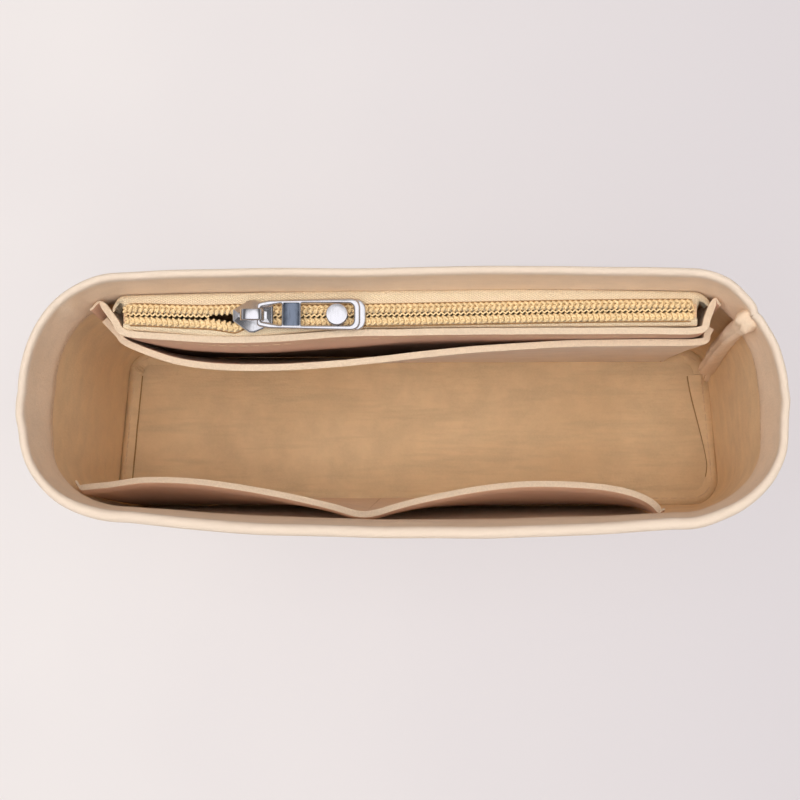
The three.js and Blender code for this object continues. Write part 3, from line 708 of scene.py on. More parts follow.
def felt_material(name, rgb, streak=0.5, mottle=0.5, crest=None):
    """Pressed felt: fine fibres, soft mottling, faint streaks and, above a height, a painted sheen
    that greys the crest.
    """
    m = Material(name)
    fibres = m.noise(m.coordinates((1, 1, 1), (0.4, 0.2, 0.6)), 1500, 4, 0.7)
    long_fibres = m.noise(m.coordinates((0.35, 1, 1), (0.3, 0.5, 0.9)), 900, 3, 0.6)
    patches = m.noise(m.coordinates(), 120, 3, 0.55)
    streaks = m.noise(m.coordinates((0.12, 1, 1)), 260, 3, 0.6)
    clouds = m.noise(m.coordinates(), 28, 2, 0.5)
    dark, pale = shade(rgb, 1 - 0.06 * mottle), shade(rgb, 1 + 0.05 * mottle)
    tone = m.blend(m.spread(patches, 0.35, 0.65), dark, pale)
    warm = (rgb[0], rgb[1] * 0.955, rgb[2] * 0.9, 1)
    tone = m.blend(m.spread(clouds, 0.4, 0.7, 0, 0.5), tone, warm)
    tone = m.blend(m.spread(streaks, 0.5, 0.72, 0, 0.3 * streak), tone, shade(rgb, 0.84))
    tone = m.blend(m.spread(fibres, 0.42, 0.62, 0, 0.2), tone, shade(rgb, 1.12))
    # painted sheen: in the last millimetres below the crest height the felt fades to the greyer
    # colour
    if crest:
        split = m.node("ShaderNodeSeparateXYZ", {"Vector": m.coordinates()})
        crest_sheen = m.spread(split.outputs["Z"], crest - 0.0032, crest - 0.0008)
        tone = m.blend(m.maths("MULTIPLY", crest_sheen, 0.75), tone, PAINTED_CREST_SHEEN)
    height = m.maths("MULTIPLY", long_fibres, 0.6)
    height = m.maths("ADD", m.maths("MULTIPLY", fibres, 0.6), height)
    height = m.maths("ADD", height, m.maths("MULTIPLY", streaks, 0.8 * streak))
    m.set(
        Base_Color=tone,
        Roughness=m.spread(fibres, 0.3, 0.7, 0.86, 0.98),
        Specular_IOR_Level=0.25,
        Sheen_Weight=0.12,
        Sheen_Roughness=0.55,
        Normal=m.relief(height, 0.00035, 0.6),
    )
    return m.data


def cut_material(name, rgb):
    """The cut edge of felt, paler and more fibrous than its faces."""
    m = Material(name)
    fibres = m.noise(m.coordinates((1, 1, 2)), 1700, 5, 0.75)
    layers = m.noise(m.coordinates((0.2, 1, 1)), 700, 2, 0.5)
    tone = m.blend(m.spread(fibres, 0.4, 0.65), shade(rgb, 0.93), shade(rgb, 1.05))
    height = m.maths("ADD", fibres, m.maths("MULTIPLY", layers, 0.7))
    m.set(
        Base_Color=tone,
        Roughness=m.spread(fibres, 0.3, 0.7, 0.85, 0.97),
        Specular_IOR_Level=0.25,
        Sheen_Weight=0.15,
        Normal=m.relief(height, 0.0004, 0.7),
    )
    return m.data


def tape_material(name, rgb):
    """Woven tape: slanted ribs of warp thread across fine weft, its hollows darkened by painted
    shade.
    """
    m = Material(name)
    across = m.coordinates((1, 1, 1), (0, 0, math.radians(52)), "UV")
    ribs = m.node(
        "ShaderNodeTexWave",
        {"Vector": across, "Scale": 420.0, "Distortion": 0.7, "Detail": 1.0, "Detail Scale": 3.0},
        bands_direction="X",
    ).outputs["Fac"]
    weft = m.node(
        "ShaderNodeTexWave",
        {"Vector": m.coordinates(output="UV"), "Scale": 640.0, "Distortion": 0.5},
        bands_direction="X",
    ).outputs["Fac"]
    yarn = m.noise(m.coordinates((0.3, 1, 1), output="UV"), 900, 3, 0.6)
    height = m.maths("ADD", ribs, m.maths("MULTIPLY", weft, 0.5))
    # painted shade: the lower the weave's relief, the darker its colour
    tone = m.blend(m.spread(height, 0.1, 1.2), shade(rgb, 0.8), shade(rgb, 1.06))
    tone = m.blend(m.spread(yarn, 0.4, 0.7, 0, 0.3), tone, shade(rgb, 0.9))
    m.set(
        Base_Color=tone,
        Roughness=m.spread(height, 0.2, 1.3, 0.85, 0.6),
        Sheen_Weight=0.15,
        Normal=m.relief(height, 0.00018, 0.8),
    )
    return m.data


def yarn_material(name, rgb, gloss):
    """Nylon wire or twisted thread with fine strands."""
    m = Material(name)
    strands = m.noise(m.coordinates((0.5, 1, 1)), 2600, 3, 0.6)
    clouds = m.noise(m.coordinates(), 300, 2, 0.5)
    tone = m.blend(m.spread(clouds, 0.35, 0.65), shade(rgb, 0.93), shade(rgb, 1.06))
    tone = m.blend(m.spread(strands, 0.45, 0.7, 0, 0.3), tone, shade(rgb, 0.78))
    m.set(
        Base_Color=tone,
        Roughness=m.spread(strands, 0.3, 0.7, 0.75 - gloss, 0.9 - gloss),
        Specular_IOR_Level=0.4,
        Normal=m.relief(strands, 0.00008, 0.5),
    )
    return m.data


def metal_material(name, rgb, polish=0.1, wear=0.5):
    """Bright plate with the faint waves and scuffs of a tumbled casting."""
    m = Material(name)
    waves = m.noise(m.coordinates(), 260, 2, 0.5)
    scuffs = m.noise(m.coordinates((1, 0.15, 1), (0, 0, 0.5)), 1800, 4, 0.7)
    tone = m.blend(m.spread(scuffs, 0.5, 0.75, 0, 0.35 * wear), shade(rgb, 1), shade(rgb, 0.7))
    height = m.maths("ADD", waves, m.maths("MULTIPLY", scuffs, 0.12 * wear))
    m.set(
        Base_Color=tone,
        Metallic=1.0,
        Roughness=m.spread(scuffs, 0.4, 0.75, polish, polish + 0.14 * wear),
        Normal=m.relief(height, 0.0002, 0.35),
    )
    return m.data


# each finish: its maker, the material's name and what the maker takes after the colour
MAKERS = {
    # the wall's last number is the height of the crest that gets the painted sheen
    "wall": (felt_material, "wall_felt", 1.0, 0.8, 0.12),
    # painted shade and bounce light: the darker, more orange base felt
    "base": (felt_material, "base_felt", 2.4, 1.3),
    "pocket": (felt_material, "pocket_felt", 0.5, 0.7),
    # painted bounce light: the warmer felt of the wall's inner face
    "within": (felt_material, "inner_wall_felt", 0.8, 1.2),
    # painted light: the paler felt of the slip pocket's outer face
    "slip": (felt_material, "slip_felt", 0.5, 0.7),
    # painted shade: the darker, redder felt inside the pockets
    "inner": (felt_material, "pocket_lining", 0.5, 0.7),
    # painted shadow: the dark colour of tubes that stand for shadow lines
    "groove": (yarn_material, "seam_groove", 0.02),
    "cut": (cut_material, "cut_edge"),
    "tape": (tape_material, "zip_tape"),
    "coil": (yarn_material, "zip_coil", 0.32),
    "thread": (yarn_material, "thread", 0.05),
    "metal": (metal_material, "bright_metal", 0.1, 0.6),
    # painted reflection: the mirror panel's dark colour
    "mirror": (metal_material, "mirror_panel", 0.06, 1.6),
}


def finish_of(kind):
    """The material of one finish, made once from its colour in the sidebar."""
    store = bpy.context.scene
    key = f"finish_{kind}"
    if key not in store:
        maker, name, *settings = MAKERS[kind]
        rgb = tuple(getattr(store.pouch_finish, kind))
        store[key] = maker(name, rgb, *settings).name
    return bpy.data.materials[store[key]]


def plate(name, outline, holes, thickness, edge, segments=3):
    """A flat plate with rounded edges from its outline and holes, about level zero."""
    curve = poly_curve(name, "2D", (outline, *holes), True)
    curve.fill_mode = "BOTH"
    curve.extrude = thickness / 2 - edge
    curve.bevel_depth = edge
    curve.bevel_resolution = segments
    curve.offset = -edge
    return curve_mesh(name, curve)


def rounded(points, radius, steps=5):
    """A ring of points with its corners rounded; radius is one length or one for each."""
    ring = []
    amount = len(points)
    for i, corner in enumerate(points):
        r = radius[i] if isinstance(radius, (list, tuple)) else radius
        b = Vector(corner)
        a = Vector(points[i - 1])
        c = Vector(points[(i + 1) % amount])
        r = min(r, (a - b).length / 2, (c - b).length / 2)
        if r <= 0:
            ring.append(tuple(b))
            continue
        start, end = b + (a - b).normalized() * r, b + (c - b).normalized() * r
        for k in range(steps + 1):
            f = k / steps
            ring.append(tuple(start * (1 - f) ** 2 + b * 2 * f * (1 - f) + end * f * f))
    return ring


def tidy(mesh, angle=32):
    """Merges a made mesh's doubles, points its faces outwards and marks its sharp edges."""
    bm = bmesh.new()
    bm.from_mesh(mesh)
    bmesh.ops.remove_doubles(bm, verts=bm.verts, dist=0.000002)
    bmesh.ops.recalc_face_normals(bm, faces=bm.faces)
    bm.to_mesh(mesh)
    bm.free()
    mesh.shade_smooth()
    mesh.set_sharp_from_angle(angle=math.radians(angle))
    return mesh


class POUCH_OT_wall(bpy.types.Operator):
    """Sew the wall: one strip of felt, its hem folded in and its ends and its foot turned in."""

    bl_idname = "pouch.wall"
    bl_label = "Wall"

    def execute(self, context):
        g = Pattern(context.scene)
        half = g.felt / 2
        profile = [("outer", j / (g.wall_rows - 1)) for j in range(g.wall_rows)]
        profile += [("fold", j / g.fold_rows) for j in range(1, g.fold_rows)]
        profile += [("hem", j / (g.hem_rows - 1)) for j in range(g.hem_rows)]
        marks = self.stations(g, g.round_wall)
        seam = g.seam(g.height)
        lean_reach, corner_run = 0.62, 44 * MM

        def level(part, f, s):
            """Depth and height of one row of the strip's middle layer."""
            fold = half * g.pressed(s, g.height)
            rise = g.height - 2 * fold
            if part == "fold":
                angle = math.pi * f
                return 2 * fold - fold * math.cos(angle), rise + fold * math.sin(angle)
            z = rise * (0.35 * f * f + 0.65 * f) if part == "outer" else mix(rise, g.hem_foot, f)
            if part == "outer":
                return half * g.pressed(s, z), z
            return (2 + g.feather(part, z)) * half * g.pressed(s, z) + 0.05 * MM, z

        def place(i, j):
            part, f = profile[j]
            mark = marks[i]
            depth, z = level(part, f, mark)
            near = min(mark - seam, 8 + seam - mark)
            s = mark + (g.seam(z) - seam) * max(0, 1 - near / lean_reach)
            flat, normal = g.outline(s, z)
            away = near * corner_run
            inside = part == "hem" or (part == "fold" and f > 0.5)
            low = smooth(z, g.hem_foot + 0.012, g.hem_foot) * inside
            wavy = 0.00035 * rough(s * 3.1, depth * 90, 2) * low
            dent = 0.0005 * bump(away, 0, 0.0011) + self.crease(mark, z) * inside
            flat = flat - normal * (depth + dent)
            crest = smooth(z, g.height - 0.02, g.height)
            drop = 0.0005 * rough(s * 1.7, 4, 1) * crest
            notch = 0.0005 * bump(away, 0, 0.0022) * crest
            return settle(Vector((*flat, z + wavy + drop - notch)), g.height)

        columns = len(marks)
        bm = draped_grid(columns, len(profile), place)
        # within is the warmer felt of the wall's inner face below the hem: painted bounce light
        felt, within = finish_of("wall"), finish_of("within")
        wall = add_piece("felt_wall", bm, (felt, felt, within), "pouch", "wall_felt", "wall_band")
        thin = wall.vertex_groups.new(name="pressed")
        for j, (part, f) in enumerate(profile):
            for i, mark in enumerate(marks):
                z = level(part, f, mark)[1]
                share_left = g.pressed(mark, z) * g.feather(part, z)
                thin.add([j * columns + i], share_left, "REPLACE")
        shell = thicken(wall, g.felt).modifiers["thickness"]
        shell.vertex_group = thin.name
        shell.material_offset = 2
        girth = path_length([g.outline(s, g.height)[0] for s in marks])
        self.allowance_strip(g)
        self.closing_ridge(g)
        return {"FINISHED"}

    @staticmethod
    def closing_ridge(g):
        """The strip's ends, turned in side by side and sewn: a soft double ridge with a knob."""
        around, rows = 44, 110
        low, high = g.flange_top - 0.8 * MM, g.height - 3.4 * MM

        def place(i, j):
            z = mix(low, high, j / (rows - 1))
            angle = 2 * math.pi * (i % around) / around
            knob = smooth(z, g.height - 15 * MM, g.height - 8 * MM)
            close = mix(0.3, 1, clamp((high - z) / (2.6 * MM)) ** 0.5)
            close *= mix(0.45, 1, smooth(z, 3 * MM, 18 * MM))
            wobble = rough(z * 95, 1.3, 4)
            half = (2.8 * MM + 0.3 * MM * knob + 0.4 * MM * wobble) * close
            reach = (g.ridge + 1.3 * MM + 0.6 * MM * wobble - 0.2 * MM * knob) * close
            across = half * blunt(math.cos(angle), 0.7)
            inward = reach * (0.5 + 0.5 * blunt(math.sin(angle), 0.7))
            line = 0.5 * MM * rough(z * 60, 7, 2)
            groove = 0.6 * MM * bump(across, line, 0.35 * MM) * smooth(inward, reach * 0.6, reach)
            buried = g.wall_thickness(z) * g.pressed(0, z) - 1.0 * MM
            spot = Vector((across, inward, z)) / (2.3 * MM)
            lump = 0.9 * MM * noise.noise(spot) * knob + 0.35 * MM * noise.noise(spot * 0.4)
            side = 1 if across >= 0 else -1
            flat = g.near_seam(side, abs(across) + lump, buried + inward - groove + lump, z)
            return settle(Vector((*flat, z)), g.height)

        bm = draped_grid(around + 1, rows, place)
        bmesh.ops.remove_doubles(bm, verts=bm.verts, dist=0.000005)
        bmesh.ops.holes_fill(bm, edges=[e for e in bm.edges if e.is_boundary])
        bmesh.ops.recalc_face_normals(bm, faces=bm.faces)
        return add_piece(
            "felt_closing_ridge", bm, (finish_of("wall"),), "pouch", "wall_felt", "wall_band"
        )

    @staticmethod
    def allowance_strip(g):
        """The wall's bottom allowance, turned in over the edge of the base."""
        columns, rows, slit = 460, 9, 0.004
        start = g.seam(g.flange_top) + slit
        marks = [mix(start, start + 8 - 2 * slit, k / (columns - 1)) for k in range(columns)]

        def place(i, j):
            s = marks[i]
            f = j / (rows - 1)
            spot, normal = g.outline(s, g.flange_top)
            wave = 0.00035 * rough(s * 2.3, 0, 5)
            left = smooth(s, 2.6, 3.1) * (1 - smooth(s, 4.0, 4.4))
            clear = mix(0.25, 0.6, left) * MM
            wide = mix(-1.6, 1.9, smooth(s, 7.1, 8.0)) * MM * smooth(s, 6.9, 7.15)
            wide *= 1 - smooth(s, 8.2, 8.44)
            inset = mix(g.felt + clear, g.felt + g.allowance + wide + wave, f)
            swell = 0.0004 * math.sin(math.pi * f) + 0.0002 * rough(s * 5, f, 9)
            edge = mix(0.5, 1.3, left) * MM * (1 - smooth(f, 0, 0.3))
            pucker = 0.0006 * bump(s, 2.66, 0.09) * math.sin(s * 70) * f
            z = g.flange_top - 1.1 * MM + swell + pucker - edge
            return Vector((*(spot - normal * inset), z))

        bm = draped_grid(columns, rows, place)
        # the allowance, though wall felt, takes the darker, more orange base felt: painted shade
        # and bounce
        slots = (finish_of("base"), finish_of("base"))
        strip = add_piece("felt_foot_allowance", bm, slots, "pouch", "wall_felt", "wall_band")
        # painted shadow: a dark tube along the strip's inner edge at both ends, for the shadow
        # crease
        lower = Vector((0, 0, 0.32 * MM))
        ends = [
            [place(i, rows - 1) - lower for i in range(0, columns, 2) if low < marks[i] < high]
            for low, high in ((2.9, 4.3), (7.0, 8.3))
        ]
        add_tubes("foot_allowance_seam", ends, 0.42 * MM, "groove", "thread", "foot_seam_thread")
        return thicken(strip, 1.3 * MM, 0.5 * MM)

    @staticmethod
    def stations(g, amount):
        """Places round the wall, equally far apart at the rim and closer at the seam."""
        seam = g.seam(g.height)
        steps = 4000
        fine = [seam + 8 * k / steps for k in range(steps + 1)]
        run = [0.0]
        points = [g.outline(s, g.height)[0] for s in fine]
        for a, b in zip(points, points[1:]):
            run.append(run[-1] + (b - a).length)
        closer = [0.03 * MM, 0.4 * MM, 0.8 * MM, 1.3 * MM]
        even = [mix(2 * MM, run[-1] - 2 * MM, i / (amount - 1)) for i in range(amount)]
        goals = closer + even + [run[-1] - d for d in reversed(closer)]
        marks, k = [], 0
        for goal in goals:
            while k < steps - 1 and run[k + 1] < goal:
                k += 1
            marks.append(mix(fine[k], fine[k + 1], (goal - run[k]) / (run[k + 1] - run[k])))
        return marks

    @staticmethod
    def crease(s, z):
        """The fold that the back left corner keeps from lying flat in its packing."""
        upper = smooth(z, 0.096, 0.106) * (1 - smooth(z, 0.112, 0.118))
        return (0.0013 * bump(s, 2.42, 0.05) - 0.0008 * bump(s, 2.33, 0.05)) * upper


class POUCH_OT_base(bpy.types.Operator):
    """Lay the base inside the foot of the wall."""

    bl_idname = "pouch.base"
    bl_label = "Base"

    def execute(self, context):
        g = Pattern(context.scene)
        steps, across = 60, 46
        inset = g.felt + g.gap

        def place(i, j):
            u, v = 2 * i / steps - 1, 2 * j / across - 1
            edge = max(abs(u), abs(v))
            if edge == 0:
                return Vector((0, 0, g.felt / 2))
            half_x = g.foot_back / 2 - inset
            half_y = g.foot_depth / 2 - inset
            x, y = u * half_x, v * half_y
            widen = 1 + (g.foot_front - g.foot_back) / g.foot_back * (0.5 - v / 2)
            x *= widen
            round_x = max(abs(x) - (half_x * widen - g.foot_corner + inset), 0)
            round_y = max(abs(y) - (half_y - g.foot_corner + inset), 0)
            reach = math.hypot(round_x, round_y)
            if round_x and round_y and reach > 0:
                inwards = 1 - max(round_x, round_y) / reach
                x -= math.copysign(round_x * inwards, x)
                y -= math.copysign(round_y * inwards, y)
            sag = 0.00035 * rough(x * 16, y * 34, 3)
            return Vector((x, y, g.felt / 2 + 0.0004 + sag * (1 - edge**6)))

        bm = draped_grid(steps + 1, across + 1, place)
        # the base felt is darker and more orange than the wall's: painted shade and bounce light
        felt, cut = finish_of("base"), finish_of("cut")
        base = add_piece("felt_base", bm, (felt, cut), "pouch", "base_felt", "base_panel")
        thicken(base, g.felt - 0.0002, 0.0003)
        return {"FINISHED"}


def upright_panel(g, name, path_at, top, node, ease, flange, outer):
    """A pocket's panel of felt standing on its foot, along the path at each height."""
    columns, rows, low = g.panel_columns, g.panel_rows, g.panel_foot
    levels = [mix(low, top, j / (rows - 1)) for j in range(rows)]
    paths = [resampled(path_at(z, g.felt / 2), columns, ease) for z in levels]
    stops = len(path_at(top, 0)) - 1
    towards = 1 if paths[-1][0].y > 0 else -1

    def to_end(i):
        """Stops of the path from a column to the nearer end of the panel."""
        t = i / (columns - 1) * stops
        return min(t, stops - t)

    def pressed(i):
        """Share of the felt's thickness, thin where a flange lies on the wall."""
        return mix(0.3, 1, smooth(to_end(i), flange - 0.5, flange + 0.5)) if flange else 1

    def place(i, j):
        p, z = paths[j][i], levels[j]
        rim = smooth(z, top - 0.012, top)
        wave = 0.00035 * rough(p.x * 60, p.y * 60, 8) * rim
        lift = 0.7 * MM * smooth(1.3 - to_end(i)) if flange else 0
        y = p.y + towards * ((1 - pressed(i)) * g.felt / 2 - lift)
        return settle(Vector((p.x, y, z + wave)), g.height)

    bm = draped_grid(columns, rows, place)
    slots = (finish_of(outer), finish_of("cut"), finish_of("pocket"))
    piece = add_piece(name, bm, slots, "pouch", "pocket_felt", node)
    thin = piece.vertex_groups.new(name="pressed")
    for j in range(rows):
        for i in range(columns):
            thin.add([j * columns + i], pressed(i), "REPLACE")
    wall = thicken(piece, g.felt, 0.00045).modifiers["thickness"]
    wall.vertex_group = thin.name
    wall.material_offset = 2
    lengths = [path_length(path) for path in paths]


class POUCH_OT_pockets(bpy.types.Operator):
    """Sew in the zip pocket, the slip pocket and the two front pockets."""

    bl_idname = "pouch.pockets"
    bl_label = "Pockets"

    def execute(self, context):
        g = Pattern(context.scene)
        # the faces inside the pockets take the darker, redder felt: painted shade
        # the slip pocket's outer face takes the paler felt: painted light
        for name, node, path_at, top, ease, flange, outer in (
            ("felt_zip_pocket", "zip_pocket", g.zip_path, g.zip_level, 12, 2, "inner"),
            ("felt_slip_pocket", "slip_pocket", g.slip_path, g.slip_top, 9, 0, "slip"),
            ("felt_front_pockets", "front_pocket", g.pocket_path, g.pocket_top, 3, 2, "inner"),
        ):
            upright_panel(g, name, path_at, top, f"{node}_panel", ease, flange, outer)
        return {"FINISHED"}


def row_middle(g, x):
    """Where the rows meet: the chain drifts back towards both its ends."""
    left = 0.65 * MM * (1 - smooth(x, g.chain_start, g.nose - 6 * MM))
    right = 0.9 * MM * smooth(x, g.nose + 18 * MM, g.chain_end - 14 * MM)
    return g.middle + left + right


def shove(g, x, side):
    """How far a row is pushed from there where the slider's nose parts the two."""
    drift, mouth = 0.5 * MM, 7.5 * MM
    if x < g.nose:
        outer = smooth(x, g.nose - 30 * MM, g.nose)
        opened = clamp((x - g.nose + mouth) / mouth) ** 1.3
    else:
        outer = opened = 1 - smooth(x, g.nose, g.nose + 4.5 * MM)
    if side > 0:
        return -0.25 * MM * opened
    return drift * outer + (g.parting - drift) * opened


def row_y(g, x, side, offset):
    """Y on one row of the chain, at an offset from where the rows meet."""
    return row_middle(g, x) + side * offset - shove(g, x, side)


def from_end(g, x):
    """How far a place lies inside the nearer end of the chain, negative beyond it."""
    return min(x - g.chain_start, g.chain_end - x)


def chain_end_taper(g, x):
    """How the rows draw together over the last of the chain, 1 away from its ends."""
    return 1 - 0.3 * clamp(1 - from_end(g, x) / (3 * MM)) ** 2


def sunk(g, x):
    """How far the chain's ends turn down into the pocket."""
    return 1.3 * MM * clamp(1 - from_end(g, x) / (3.5 * MM)) ** 2


class POUCH_OT_zip(bpy.types.Operator):
    """Make the zip: two tapes, two rows of coil and the chain stitches that hold them."""

    bl_idname = "pouch.zip"
    bl_label = "Zip"

    def execute(self, context):
        g = Pattern(context.scene)
        for side, word in ((1, "back"), (-1, "front")):
            self.tape(g, side, word)
            self.coil(g, side, word)
        self.tips(g)
        self.tacks(g)
        return {"FINISHED"}

    @staticmethod
    def tape(g, side, word):
        """One half of the tape: a leg sewn on the felt and a shelf that carries the coil."""
        columns, leg, bend, shelf = 320, 5, 4, 8
        rows = leg + bend + shelf
        radius = 0.0011
        lane = 0.6 * MM
        left, right = (3.0 * MM, 3.3 * MM) if side > 0 else (0, 0)
        length = g.chain_end - g.chain_start + left + right
        width = g.tape_leg + 0.0085

        def face(x, z):
            if side > 0:
                return g.wall_y(True, x, z, g.wall_thickness(z) + g.gap) - g.tape / 2
            return g.zip_y(x, z, -g.gap) + g.tape / 2

        def place(i, j):
            x = mix(g.chain_start - left, g.chain_end + right, i / (columns - 1))
            inside = from_end(g, x)
            beyond = max(-inside, 0) / (3 * MM)
            bent, strip = (2.6 * MM, 1.3 * MM) if x < 0 else (1.0 * MM, 1.9 * MM)
            dip = 2.2 * MM * clamp(1 - inside / (2.6 * MM)) ** 2
            top = g.zip_level - g.tape / 2
            wall = face(x, top)
            if j < leg:
                z = mix(top - g.tape_leg, top - radius, j / leg)
                y = face(x, z)
            elif j < leg + bend:
                angle = (j - leg) / bend * math.pi / 2
                z = top - radius + radius * math.sin(angle)
                y = wall - side * (radius - radius * math.cos(angle))
            else:
                f = (j - leg - bend) / (shelf - 1)
                narrow = smooth(beyond, 0, 0.22)
                far = mix(row_y(g, x, side, lane), wall - strip, narrow)
                y = mix(wall - side * radius, far, f)
                z = top + 0.00012 * math.sin(math.pi * f) - (1 - narrow) * sunk(g, x) * f
                z -= dip * f * (1 - narrow)
            return Vector((x, y - bent * beyond**2, z - 0.9 * MM * beyond**2))

        bm = draped_grid(columns, rows, place)
        unwrap(
            bm, columns, lambda i: length * i / (columns - 1), lambda j: width * j / (rows - 1)
        )
        node = f"zip_tape_{word}"
        piece = add_piece(f"{node}_cloth", bm, (finish_of("tape"),), "pouch", "zip_tape", node)
        thicken(piece, g.tape, 0.0001, 1, 0)
        real = path_length([place(160, j) for j in range(rows)])

    @staticmethod
    def coil(g, side, word):
        """One row of nylon coil, the chain stitches over it and a dark tube beside it that paints
        its edge's shadow line.
        """
        turns = int((g.chain_end - g.chain_start) / g.pitch)
        shift = 0.5 if side < 0 else 0.0
        low = g.zip_level + g.wire
        high = g.zip_level + g.coil_height - g.wire
        near = g.coil_from + g.wire * 0.2
        far = g.coil_from + g.coil_width - g.wire
        path = []
        for k in range(int((turns - shift) * g.turn_points) + 1):
            t = k / g.turn_points + shift
            angle = t * 2 * math.pi
            x = g.chain_start + 0.0004 + t * g.pitch
            offset = mix(near, far, 0.5 - 0.5 * blunt(math.cos(angle), 0.7))
            level = mix(low, high, 0.5 + 0.5 * blunt(math.sin(angle), 0.75))
            path.append(Vector((x, row_y(g, x, side, offset), level - sunk(g, x))))
        node = f"zip_coil_{word}"
        add_tubes(f"{node}_wire", [path], g.wire, "coil", "zip_coil", node)
        crown = g.zip_level + g.coil_height - 0.3 * MM
        arc = ((-0.5, -0.34), (-0.25, 0.0), (0.25, 0.0), (0.5, -0.34))
        tip = ((0.3, -0.5), (0.55, -0.25), (0.95, -0.2))
        strands = []
        for k in range(turns):
            start = g.chain_start + 0.1 * MM + (k + shift) * g.pitch
            for inner, outer, lean in ((1.1, 1.62, 1), (2.08, 2.58, -1)):
                strand = []
                for f, h in arc:
                    x = start + (0.5 + lean * f) * 0.8 * MM
                    y = row_y(g, x, side, mix(inner, outer, f + 0.5) * MM * chain_end_taper(g, x))
                    strand.append(Vector((x, y, crown + h * MM - sunk(g, x))))
                strands.append(strand)
            x = start + 0.2 * MM
            if g.nose - 7 * MM < x < g.nose + 4 * MM:
                base = row_y(g, x, side, 0)
                strands.append([(x, base + side * a * MM, crown + h * MM) for a, h in tip])
        name = f"zip_chain_stitch_{word}"
        add_tubes(name, strands, 0.4 * MM, "coil", "zip_coil", node, fineness=2)
        # painted shadow: a thin dark tube along the row's outer edge, for its shadow line
        edge, x = [], g.chain_start + 0.8 * MM
        while x < g.chain_end - 0.8 * MM:
            z = g.zip_level + 0.12 * MM - sunk(g, x)
            edge.append(Vector((x, row_y(g, x, side, 3.0 * MM), z)))
            x += 1.2 * MM
        name, node = f"zip_chain_edge_{word}", f"zip_thread_{word}"
        add_tubes(name, [edge], 0.22 * MM, "groove", "thread", node)

    @staticmethod
    def tips(g):
        """The interlocked tips of both rows, a zigzag with dark gaps on either side."""
        crown = g.zip_level + g.coil_height - 0.45 * MM
        step = g.pitch / 4
        lines = []
        for start, end in (
            (g.chain_start + 0.6 * MM, g.nose - 6 * MM),
            (g.nose + 3 * MM, g.chain_end - 0.4 * MM),
        ):
            line = []
            for k in range(int((end - start) / step)):
                x = start + k * g.pitch / 4
                turn = (x - g.chain_start - 0.8 * MM) / g.pitch
                swing = 0.3 * MM * math.cos(2 * math.pi * turn)
                y = row_middle(g, x) - swing - shove(g, x, 1) * 0.6
                line.append(Vector((x, y, crown - sunk(g, x))))
            lines.append(line)
        nodes = ("zip_coil_back", "zip_coil_front")
        add_tubes("zip_chain_tips", lines, 0.27 * MM, "coil", "zip_coil", *nodes, fineness=2)

    @staticmethod
    def tacks(g):
        """Thread bound over both cut ends of the chain."""
        reach = g.coil_from + g.coil_width - 0.3 * MM
        foot, rise = g.zip_level - 2.4 * MM, g.coil_height + 0.1 * MM
        turns, points = 5, 17
        for word, x in (("left", g.chain_start), ("right", g.chain_end - 1.2 * MM)):
            paths = []
            for k in range(turns):
                lane = x + 0.0001 + k * 0.00022
                ring = []
                for n in range(points):
                    f = n / (points - 1)
                    wobble = 0.00006 * rough(k * 3.1, f * 6, 0)
                    z = foot + rise * (1 - abs(2 * f - 1) ** 6) + wobble
                    y = row_middle(g, x) + mix(-reach, reach, f)
                    ring.append(Vector((lane + wobble, y, z)))
                paths.append(ring)
            name, node = f"zip_end_binding_{word}", f"zip_tack_{word}"
            add_tubes(name, paths, 0.00017, "thread", "thread", node)


